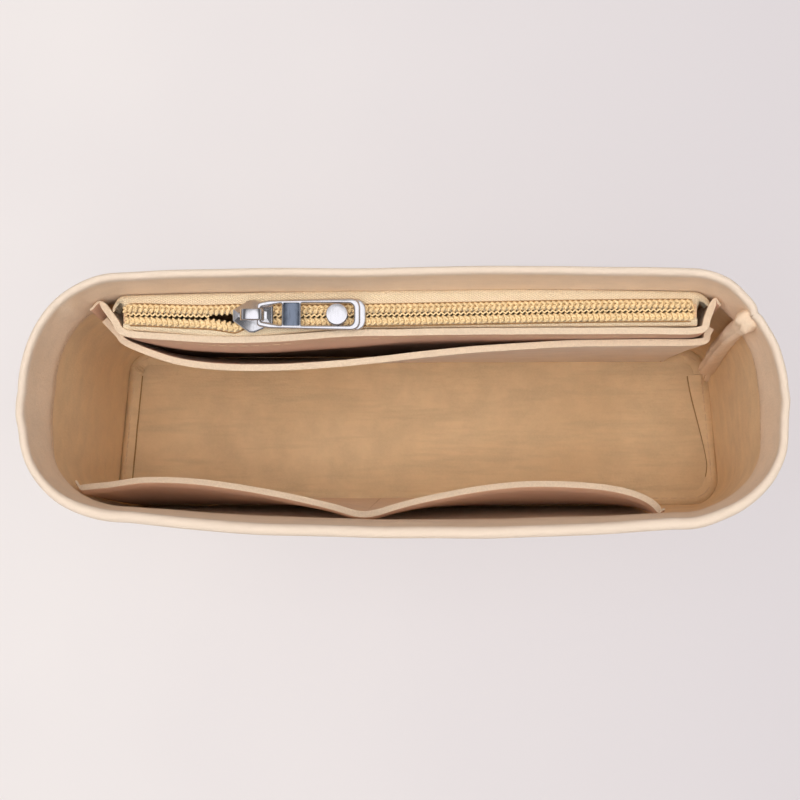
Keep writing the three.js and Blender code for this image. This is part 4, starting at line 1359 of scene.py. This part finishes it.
class POUCH_OT_threads(bpy.types.Operator):
    """Sew the seams: rows of short stitches sunk in the felt."""

    bl_idname = "pouch.threads"
    bl_label = "Threads"

    length = 2.7 * MM
    spacing = 3.0 * MM
    radius = 0.2 * MM

    def row(self, g, name, path, ups, node):
        """One row of stitches, as a piece that stands for a thread node."""
        path = [settle(p, g.height) for p in path]
        arcs = stitches(path, ups, self.length, self.spacing, -0.06 * MM, 0.25 * MM)
        add_tubes(name, arcs, self.radius, "thread", "thread", node)

    def execute(self, context):
        g = Pattern(context.scene)
        self.level_rows(g)
        self.closing_row(g)
        self.zip_rows(g)
        for where, path_at, top, words in (
            ("back", g.slip_path, g.slip_top, ("left", "right")),
            ("front", g.pocket_path, g.pocket_top, ("left", "middle", "right")),
        ):
            stops = {"left": 1, "middle": 16, "right": len(path_at(top, 0)) - 2}
            for word in words:
                name, node = f"{where}_pocket_stitches_{word}", f"{where}_pocket_thread_{word}"
                self.upright(g, name, path_at, stops[word], top, node)
        return {"FINISHED"}

    def level_rows(self, g):
        """Stitches round the wall: both faces of the hem, and the foot."""
        clear, steps = 0.16, 500
        seam = g.seam(g.hem_foot)
        marks = [mix(seam + clear, 8 + seam - clear, k / steps) for k in range(steps + 1)]
        z = g.hem_foot + 0.003
        inner = (1 + g.feather("hem", z)) * g.felt + 0.00005
        spots = [g.outline(s, z) for s in marks]
        for word, depth, turn in (("outer", 0, 1), ("inner", inner, -1)):
            path = [Vector((*(point - normal * depth), z)) for point, normal in spots]
            ups = [Vector((*normal, 0)) * turn for _, normal in spots]
            self.row(g, f"hem_stitches_{word}", path, ups, f"hem_thread_{word}")
        z = g.flange_top - 0.05 * MM
        depth = g.felt + g.allowance * 0.5
        spots = [g.outline(s, g.flange_top) for s in marks]
        path = [Vector((*(point - normal * depth), z)) for point, normal in spots]
        self.row(g, "foot_stitches", path, [Vector((0, 0, 1))] * len(path), "foot_seam_thread")

    def closing_row(self, g):
        """Stitches down the closing seam."""
        path, ups = [], []
        for k in range(60):
            z = mix(g.panel_foot + g.felt, g.height - 5 * MM, k / 59)
            depth = g.wall_thickness(z) + g.ridge / 2
            flat = g.near_seam(-1, 2.25 * MM, depth, z)
            behind = g.near_seam(-1, 1.25 * MM, depth, z)
            path.append(Vector((*flat, z)))
            ups.append(Vector((*(flat - behind), 0)))
        self.row(g, "closing_stitches", path, ups, "closing_seam_thread")

    def zip_rows(self, g):
        """Stitches through both legs of the zip's tape."""
        level = g.zip_level - g.tape_leg / 2
        depth = g.wall_thickness(level) + g.gap + g.tape
        for word, start, end, y_at in (
            ("back", g.chain_start, g.chain_end, lambda x: g.wall_y(True, x, level, depth)),
            ("front", g.bend_left, g.bend_right, lambda x: g.zip_y(x, level, g.felt)),
        ):
            places = [mix(start + 0.002, end - 0.002, k / 119) for k in range(120)]
            path = [Vector((x, y_at(x), level)) for x in places]
            ups = [Vector((0, -1, 0))] * len(path)
            self.row(g, f"zip_stitches_{word}", path, ups, f"zip_thread_{word}")

    def upright(self, g, name, path_at, index, top, node):
        """Stitches up a pocket's panel at one stop of its path."""
        path, ups = [], []
        for k in range(50):
            z = mix(g.panel_foot + g.felt, top - g.felt, k / 49)
            far, near = path_at(z, g.felt), path_at(z, 0)
            step = (far[index + 1] - far[index - 1]).normalized()
            out = Vector((-step.y, step.x))
            if out.dot(far[index] - near[index]) < 0:
                out = -out
            path.append(Vector((*far[index], z)))
            ups.append(Vector((*out, 0)))
        self.row(g, name, path, ups, node)


def add_metal(name, mesh, body, node, finish="metal"):
    """Makes a mesh a polished piece of the slider or the pull."""
    return add_mesh(name, mesh, (finish_of(finish),), body, "polished_metal", node)


def folds(bm, angle):
    """The edges at which a bmesh's faces turn by more than an angle."""
    return [e for e in bm.edges if len(e.link_faces) == 2 and e.calc_face_angle() > angle]


def round_off(bm, edges, width, segments=2, clamped=True):
    """Rounds edges of a bmesh."""
    bmesh.ops.bevel(
        bm, geom=edges, offset=width, segments=segments, profile=0.5, affect="EDGES",
        material=-1, clamp_overlap=clamped,
    )


def add_box(bm, middle, sides):
    """Adds a box of three side lengths about its middle, and gives its edges."""
    matrix = Matrix.Translation(middle) @ Matrix.Diagonal((*[side * MM for side in sides], 1))
    made = bmesh.ops.create_cube(bm, size=1, matrix=matrix)
    return list({e for v in made["verts"] for e in v.link_edges})


def in_metres(points):
    """Points given in millimetres, in metres."""
    return [tuple(c * MM for c in point) for point in points]


class POUCH_OT_slider(bpy.types.Operator):
    """Cast the slider: a faceted top plate, a lower plate, the cap and its lock spring."""

    bl_idname = "pouch.slider"
    bl_label = "Slider"

    def execute(self, context):
        g = Pattern(context.scene)
        under = g.coil_height + g.gap
        top = under + 1.0 * MM
        origin = Vector((g.nose, g.middle, g.zip_level))
        self.upper(origin, under)
        self.lower(g, origin)
        self.cap(g, origin, top)
        self.spring(g, origin, top)
        return {"FINISHED"}

    @staticmethod
    def upper(origin, under):
        """The top plate: each ring is a share of the corners' outline at a height, in mm."""
        corners = (
            (0.0, 1.5), (0.0, -1.5), (4.5, -4.75), (5.9, -4.75),
            (11.0, -2.6), (11.0, 2.6), (5.9, 4.15), (4.5, 4.15),
        )
        levels = ((1.0, 0.0), (1.0, 0.5), (0.93, 0.66), (0.9, 0.68), (0.34, 1.22))
        middle, crown = 5.2, 0.72
        bm = bmesh.new()
        rings = []
        for share_of, up in levels:
            ring = []
            for x, y in corners:
                near = middle + (x - middle) * (share_of if up < 1 else crown)
                ring.append(bm.verts.new((near * MM, y * share_of * MM, under + up * MM)))
            rings.append([bm.edges.new((ring[k - 1], ring[k])) for k in range(len(ring))])
        for lower_ring, upper_ring in zip(rings, rings[1:]):
            bmesh.ops.bridge_loops(bm, edges=lower_ring + upper_ring)
        bmesh.ops.holes_fill(bm, edges=rings[0] + rings[-1])
        bmesh.ops.recalc_face_normals(bm, faces=bm.faces)
        round_off(bm, folds(bm, 0.16), 0.09 * MM)
        bmesh.ops.translate(bm, verts=bm.verts, vec=origin)
        mesh = mesh_of("slider_plate", bm)
        add_metal("slider_plate", mesh, "slider", "slider_body")
        mesh.set_sharp_from_angle(angle=math.radians(12))

    @staticmethod
    def lower(g, origin):
        """The plate under the tape, the post between the rows and the side rails."""
        floor = -g.tape - g.gap
        low = in_metres((
            (0, 1.2), (0, -1.2), (4.2, -2.5), (6.2, -2.5),
            (11, -2.1), (11, 2.1), (6.2, 2.5), (4.2, 2.5),
        ))
        mesh = plate("slider_keel", rounded(low, 0.9 * MM), [], 0.9 * MM, 0.18 * MM)
        mesh.transform(Matrix.Translation(origin + Vector((0, 0, floor - 0.45 * MM))))
        bm = bmesh.new()
        bm.from_mesh(mesh)
        add_box(bm, origin + Vector((1.5 * MM, 0, 0.4 * MM)), (2.4, 0.42, 3.4))
        for side in (-1, 1):
            middle = origin + Vector((5.2 * MM, side * 3.55 * MM, 1.15 * MM))
            round_off(bm, add_box(bm, middle, (3.4, 0.9, 1.6)), 0.16 * MM, clamped=False)
        bm.to_mesh(mesh)
        bm.free()
        tidy(mesh, 30)
        add_metal("slider_keel", mesh, "slider", "slider_body")

    @staticmethod
    def cap(g, origin, top):
        """The bridge over the plate that traps the pull's bar."""
        rise, wall, steps = 2.73 * MM, 0.75 * MM, 16
        start, end = g.cap_start, g.cap_start + g.cap_length

        def arch(inset):
            """The cap's outline from the side, an inset within its outer face."""
            for k in range(steps + 1):
                angle = math.pi * (1 - k / steps)
                reach = (end - start) / 2 - inset
                x = (start + end) / 2 + reach * blunt(math.cos(angle), 0.55)
                yield x, top + (rise - inset) * math.sin(angle) ** 0.5

        bm = bmesh.new()
        sheet = []
        for (xo, zo), (xi, zi) in zip(arch(0), arch(wall)):
            sheet.append((bm.verts.new((xo, 0, zo)), bm.verts.new((xi, 0, zi))))
        for (a, b), (c, d) in zip(sheet, sheet[1:]):
            bm.faces.new((a, c, d, b))
        bmesh.ops.translate(bm, verts=bm.verts, vec=(0, -g.cap_width / 2, 0))
        made = bmesh.ops.extrude_face_region(bm, geom=bm.faces[:])
        verts = [v for v in made["geom"] if isinstance(v, bmesh.types.BMVert)]
        bmesh.ops.translate(bm, verts=verts, vec=(0, g.cap_width, 0))
        bmesh.ops.recalc_face_normals(bm, faces=bm.faces)
        round_off(bm, folds(bm, 0.9), 0.34 * MM, 4)
        bmesh.ops.translate(bm, verts=bm.verts, vec=origin)
        mesh = tidy(mesh_of("slider_bridge", bm), 50)
        add_metal("slider_bridge", mesh, "slider", "slider_cap")

    @staticmethod
    def spring(g, origin, top):
        """The leaf under the cap, its end turned down as the lock's pawl."""
        start = g.cap_start + 0.75 * MM + g.gap
        end = g.cap_start + g.cap_length - 0.75 * MM - g.gap
        level = top + 1.2 * MM + 0.5 * MM + g.gap
        leaf = [
            Vector((start, 0, top + g.gap)),
            Vector((start, 0, level - 0.3 * MM)),
            Vector((start + 0.3 * MM, 0, level)),
            Vector((end, 0, level)),
        ]
        bm = draped_grid(
            4, 2, lambda i, j: leaf[i] + Vector((0, (j - 0.5) * g.cap_width / 2, 0)) + origin
        )
        mesh = mesh_of("slider_leaf", bm)
        piece = add_metal("slider_leaf", mesh, "slider", "slider_lock_spring")
        thicken(piece, 0.24 * MM, 0.05 * MM, 2, 0)


class POUCH_OT_pull(bpy.types.Operator):
    """Cast the pull: a bevelled frame, its mirror panel, its bar and the plain stud."""

    bl_idname = "pouch.pull"
    bl_label = "Pull"

    def execute(self, context):
        g = Pattern(context.scene)
        pivot = Vector((g.nose + g.pivot, g.middle, g.zip_level + g.coil_height + g.gap + 2.2 * MM))
        place = Matrix.Translation(pivot) @ Matrix.Rotation(g.pull_tilt, 4, "Y")
        self.tab(g, place)
        self.bar(place)
        self.stud(g, place)
        return {"FINISHED"}

    @staticmethod
    def tab(g, place):
        """The pull's plates: a skirt with a narrower frame on it, and the mirror panel."""
        length, half, thick = g.pull_length, g.pull_half, g.pull_thick
        inner = half - g.pull_rail
        near, far, lip, lap = 6.2 * MM, 11.5 * MM, 1.5 * MM, 0.4 * MM
        outline = [
            (-0.5 * MM, -3.1 * MM), (2.75 * MM, -3.8 * MM), (length, -half),
            (length, half), (2.75 * MM, 3.8 * MM), (-0.5 * MM, 3.1 * MM),
        ]
        narrower = [(min(x, length - lip), y) for x, y in outline]
        tail, bend = 0.8 * MM, 0.6 * MM
        radii = [tail, bend, 3.5 * MM, 3.5 * MM, bend, tail]
        narrower_radii = [tail, bend, 2.8 * MM, 2.8 * MM, bend, tail]
        eye = [(0.55 * MM, -2.0 * MM), (near, -inner), (near, inner), (0.55 * MM, 2.0 * MM)]
        end = length - 3.2 * MM
        window = rounded(
            [(far, -inner), (end, -inner), (end, inner), (far, inner)],
            [0.4 * MM, 1.7 * MM, 1.7 * MM, 0.4 * MM],
        )
        holes = [rounded(eye, 0.5 * MM), window]
        side = inner + 0.15 * MM
        panel = [
            (near + lap, -inner - 0.15 * MM), (far - lap, -inner - 0.15 * MM),
            (far - lap, side), (near + lap, side),
        ]
        for name, ring, cut, depth, edge, segments, down, finish in (
            ("skirt", rounded(outline, radii, 8), holes, thick * 0.5, 0.3, 3, thick / 4, "metal"),
            ("frame", rounded(narrower, narrower_radii, 8), holes, thick, 0.4, 3, 0, "metal"),
            # the mirror panel's dark colour is a painted reflection
            ("mirror", rounded(panel, 0.35 * MM), [], thick + 0.06 * MM, 0.03, 1, 0, "mirror"),
        ):
            mesh = plate(f"pull_{name}", ring, cut, depth, edge * MM, segments)
            mesh.transform(Matrix.Translation((0, 0, -down)))
            mesh.transform(place)
            add_metal(f"pull_{name}", tidy(mesh, 40), "pull", "pull_tab", finish)

    @staticmethod
    def bar(place):
        """The round bar that the cap traps."""
        bm = bmesh.new()
        bmesh.ops.create_cone(
            bm, cap_ends=True, segments=20, radius1=0.5 * MM, radius2=0.5 * MM, depth=4.6 * MM,
            matrix=place @ Matrix.Rotation(math.pi / 2, 4, "X"),
        )
        piece = add_metal("pull_bar", mesh_of("pull_bar", bm), "pull", "pull_tab")
        piece.data.set_sharp_from_angle(angle=math.radians(40))

    @staticmethod
    def stud(g, place):
        """A plain domed stud across the pull's window, a head on each face."""
        face = g.pull_thick / 2 + g.gap / 2
        shank = g.pull_half - g.pull_rail - g.gap
        radius = g.stud_radius
        profile = [
            (0, face + 0.42 * MM),
            (radius * 0.55, face + 0.38 * MM),
            (radius - 0.55 * MM, face + 0.3 * MM),
            (radius - 0.18 * MM, face + 0.26 * MM),
            (radius, face + 0.1 * MM),
            (radius, face),
            (shank, face),
            (shank, 0),
        ]
        bm = bmesh.new()
        line = [bm.verts.new((r, 0, z)) for r, z in profile]
        edges = [bm.edges.new(pair) for pair in zip(line, line[1:])]
        bmesh.ops.spin(
            bm, geom=[*line, *edges], cent=(0, 0, 0), axis=(0, 0, 1), angle=2 * math.pi,
            steps=40, use_merge=True,
        )
        lower = bmesh.ops.duplicate(bm, geom=[*bm.verts, *bm.edges, *bm.faces])
        verts = [v for v in lower["geom"] if isinstance(v, bmesh.types.BMVert)]
        bmesh.ops.scale(bm, verts=verts, vec=(1, 1, -1))
        bmesh.ops.remove_doubles(bm, verts=bm.verts, dist=0.000002)
        bmesh.ops.recalc_face_normals(bm, faces=bm.faces)
        there = place @ Matrix.Translation((g.stud_at, 0, 0))
        bmesh.ops.transform(bm, verts=bm.verts, matrix=there)
        piece = add_metal("pull_disc", mesh_of("pull_disc", bm), "pull", "pull_stud")
        piece.data.set_sharp_from_angle(angle=math.radians(35))


# each soft lamp: name, place, width, power in watts
LAMPS = (
    ("top", (0, 0, 1.5), 0.6, 5.6),
    ("front", (0, -0.5, 1.35), 0.7, 5.4),
    ("back", (0, 0.5, 1.35), 0.7, 1.2),
    ("right", (0.8, 0, 1.2), 0.7, 3.2),
    ("left", (-0.8, 0, 1.2), 0.7, 4.6),
)
LAMP_COLOUR = (1.0, 0.985, 0.965)
ROOM_COLOUR = (0.42, 0.415, 0.41, 1)
ROOM_STRENGTH = 0.6
# brightness of the room that polished metal shows, from straight down (0) to straight up (1)
ROOM_STOPS = (
    (0, 0.05), (0.3, 0.12), (0.5, 0.9), (0.68, 0.6), (0.8, 0.2),
    (0.9, 0.25), (0.945, 0.9), (0.97, 2.0), (1, 2.1),
)


FOCAL_LENGTH = 72.4
CAMERA_PLACE = (0.01977, -0.0304, 0.538)
# the camera's right, up and back
CAMERA_AXES = ((0.99891, 0, -0.04660), (0.00343, 0.99728, 0.07356), (0.04647, -0.07364, 0.99620))


class POUCH_OT_stage(bpy.types.Operator):
    """Set the pale floor, the soft light and the camera of the photograph."""

    bl_idname = "pouch.stage"
    bl_label = "Stage"

    def execute(self, context):
        scene = context.scene
        self.floor(scene)
        self.world(scene)
        for name, place, width, power in LAMPS:
            self.lamp(name, place, width, power)
        self.camera(scene)
        scene.view_settings.view_transform = "Standard"
        return {"FINISHED"}

    @staticmethod
    def floor(scene):
        """A wide floor under the pouch, lighter and warmer at left than right: painted light
        falloff.
        """
        bm = bmesh.new()
        bmesh.ops.create_grid(bm, x_segments=4, y_segments=4, size=3)
        bmesh.ops.translate(bm, verts=bm.verts, vec=(0, 0, -0.0001))
        mesh = mesh_of("floor", bm)
        floor = bpy.data.objects.new("floor", mesh)
        scene.collection.objects.link(floor)
        m = Material("floor")
        split = m.node("ShaderNodeSeparateXYZ", {"Vector": m.coordinates()})
        # painted light: lighter on the left and darker on the right, for light falling off across
        # the floor
        left, right = on_screen(240, 233, 231), on_screen(224, 217, 219)
        tone = m.blend(m.spread(split.outputs["X"], -0.12, 0.12), left, right)
        grain = m.noise(m.coordinates(), 9, 2, 0.5)
        tone = m.blend(m.spread(grain, 0.4, 0.7, 0, 0.25), tone, right)
        m.set(Base_Color=tone, Roughness=0.9, Specular_IOR_Level=0.1)
        light = m.node("ShaderNodeEmission", {"Color": tone, "Strength": 1.0})
        path = m.node("ShaderNodeLightPath")
        seen = m.maths("MAXIMUM", path.outputs["Is Camera Ray"], path.outputs["Is Glossy Ray"])
        seen = m.maths("MAXIMUM", seen, path.outputs["Is Transmission Ray"])
        factor = m.maths("MULTIPLY", seen, 0.8)
        both = m.node(
            "ShaderNodeMixShader",
            {"Fac": factor, 1: m.shader.outputs["BSDF"], 2: light.outputs["Emission"]},
        )
        m.feed(m.tree.nodes["Material Output"].inputs["Surface"], both.outputs["Shader"])
        mesh.materials.append(m.data)

    @staticmethod
    def world(scene):
        """A pale room: even light, and bands of bright and dark that only polished metal shows."""
        world = bpy.data.worlds.new("room")
        scene.world = world
        world.use_nodes = True
        n = Nodes(world.node_tree)
        where = n.node("ShaderNodeTexCoord").outputs["Generated"]
        height = n.node("ShaderNodeSeparateXYZ", {"Vector": where}).outputs["Z"]
        ramp = n.node("ShaderNodeValToRGB", {"Fac": height})
        elements = ramp.color_ramp.elements
        elements[0].position, first = ROOM_STOPS[0]
        elements[0].color = (first, first, first, 1)
        elements[1].position, last = ROOM_STOPS[-1]
        elements[1].color = (last, last, last * 1.05, 1)
        for position, value in ROOM_STOPS[1:-1]:
            elements.new(position).color = (value, value, value * 1.04, 1)
        glossy = n.node("ShaderNodeLightPath").outputs["Is Glossy Ray"]
        inputs = {"Factor": glossy, "A": ROOM_COLOUR, "B": ramp.outputs["Color"]}
        choose = n.node("ShaderNodeMix", inputs, data_type="RGBA")
        background = n.tree.nodes["Background"]
        n.feed(background.inputs["Strength"], ROOM_STRENGTH)
        n.feed(background.inputs["Color"], choose.outputs["Result"])

    @staticmethod
    def lamp(name, place, width, power):
        """A square soft lamp that looks at the pouch."""
        data = bpy.data.lights.new(name, "AREA")
        data.shape = "SQUARE"
        data.size = width
        data.energy = power
        data.color = LAMP_COLOUR
        lamp = bpy.data.objects.new(name, data)
        bpy.context.scene.collection.objects.link(lamp)
        lamp.visible_glossy = False
        lamp.location = place
        aim = Vector((0, 0, 0.06)) - Vector(place)
        lamp.rotation_euler = aim.to_track_quat("-Z", "Y").to_euler()

    @staticmethod
    def camera(scene):
        """The photograph's view: almost straight down, a little from the front."""
        data = bpy.data.cameras.new("camera")
        data.sensor_width = 36
        data.lens = FOCAL_LENGTH
        data.clip_start = 0.01
        camera = bpy.data.objects.new("camera", data)
        scene.collection.objects.link(camera)
        turn = Matrix(CAMERA_AXES).transposed().to_4x4()
        camera.matrix_world = Matrix.Translation(CAMERA_PLACE) @ turn
        scene.camera = camera


class POUCH_PT_sidebar(bpy.types.Panel):
    """Sizes, colours and steps of the storage pouch."""

    bl_idname = "POUCH_PT_sidebar"
    bl_label = "Storage pouch"
    bl_space_type = "VIEW_3D"
    bl_region_type = "UI"
    bl_category = "Pouch"

    def draw(self, context):
        layout = self.layout
        for step in STEPS:
            layout.operator(step.bl_idname)
        for name in GROUPS:
            box = layout.box()
            group = getattr(context.scene, name)
            for key in type(group).__annotations__:
                box.prop(group, key)


GROUPS = {
    "pouch_shape": PouchShape,
    "pouch_zip": ZipShape,
    "pouch_finish": PouchFinish,
    "pouch_detail": PouchDetail,
}
STEPS = (
    POUCH_OT_wall,
    POUCH_OT_base,
    POUCH_OT_pockets,
    POUCH_OT_zip,
    POUCH_OT_threads,
    POUCH_OT_slider,
    POUCH_OT_pull,
    POUCH_OT_stage,
)


def register():
    """Registers the sizes, the steps and the sidebar."""
    for item in (*GROUPS.values(), *STEPS, POUCH_PT_sidebar):
        bpy.utils.register_class(item)
    for name, group in GROUPS.items():
        setattr(bpy.types.Scene, name, PointerProperty(type=group))


def unregister():
    """Takes the sizes, the steps and the sidebar away again."""
    for name in GROUPS:
        delattr(bpy.types.Scene, name)
    for item in (POUCH_PT_sidebar, *reversed(STEPS), *reversed(GROUPS.values())):
        bpy.utils.unregister_class(item)


def main():
    register()
    bpy.ops.pouch.wall()
    bpy.ops.pouch.base()
    bpy.ops.pouch.pockets()
    bpy.ops.pouch.zip()
    bpy.ops.pouch.threads()
    bpy.ops.pouch.slider()
    bpy.ops.pouch.pull()
    bpy.ops.pouch.stage()


if __name__ == "__main__":
    main()
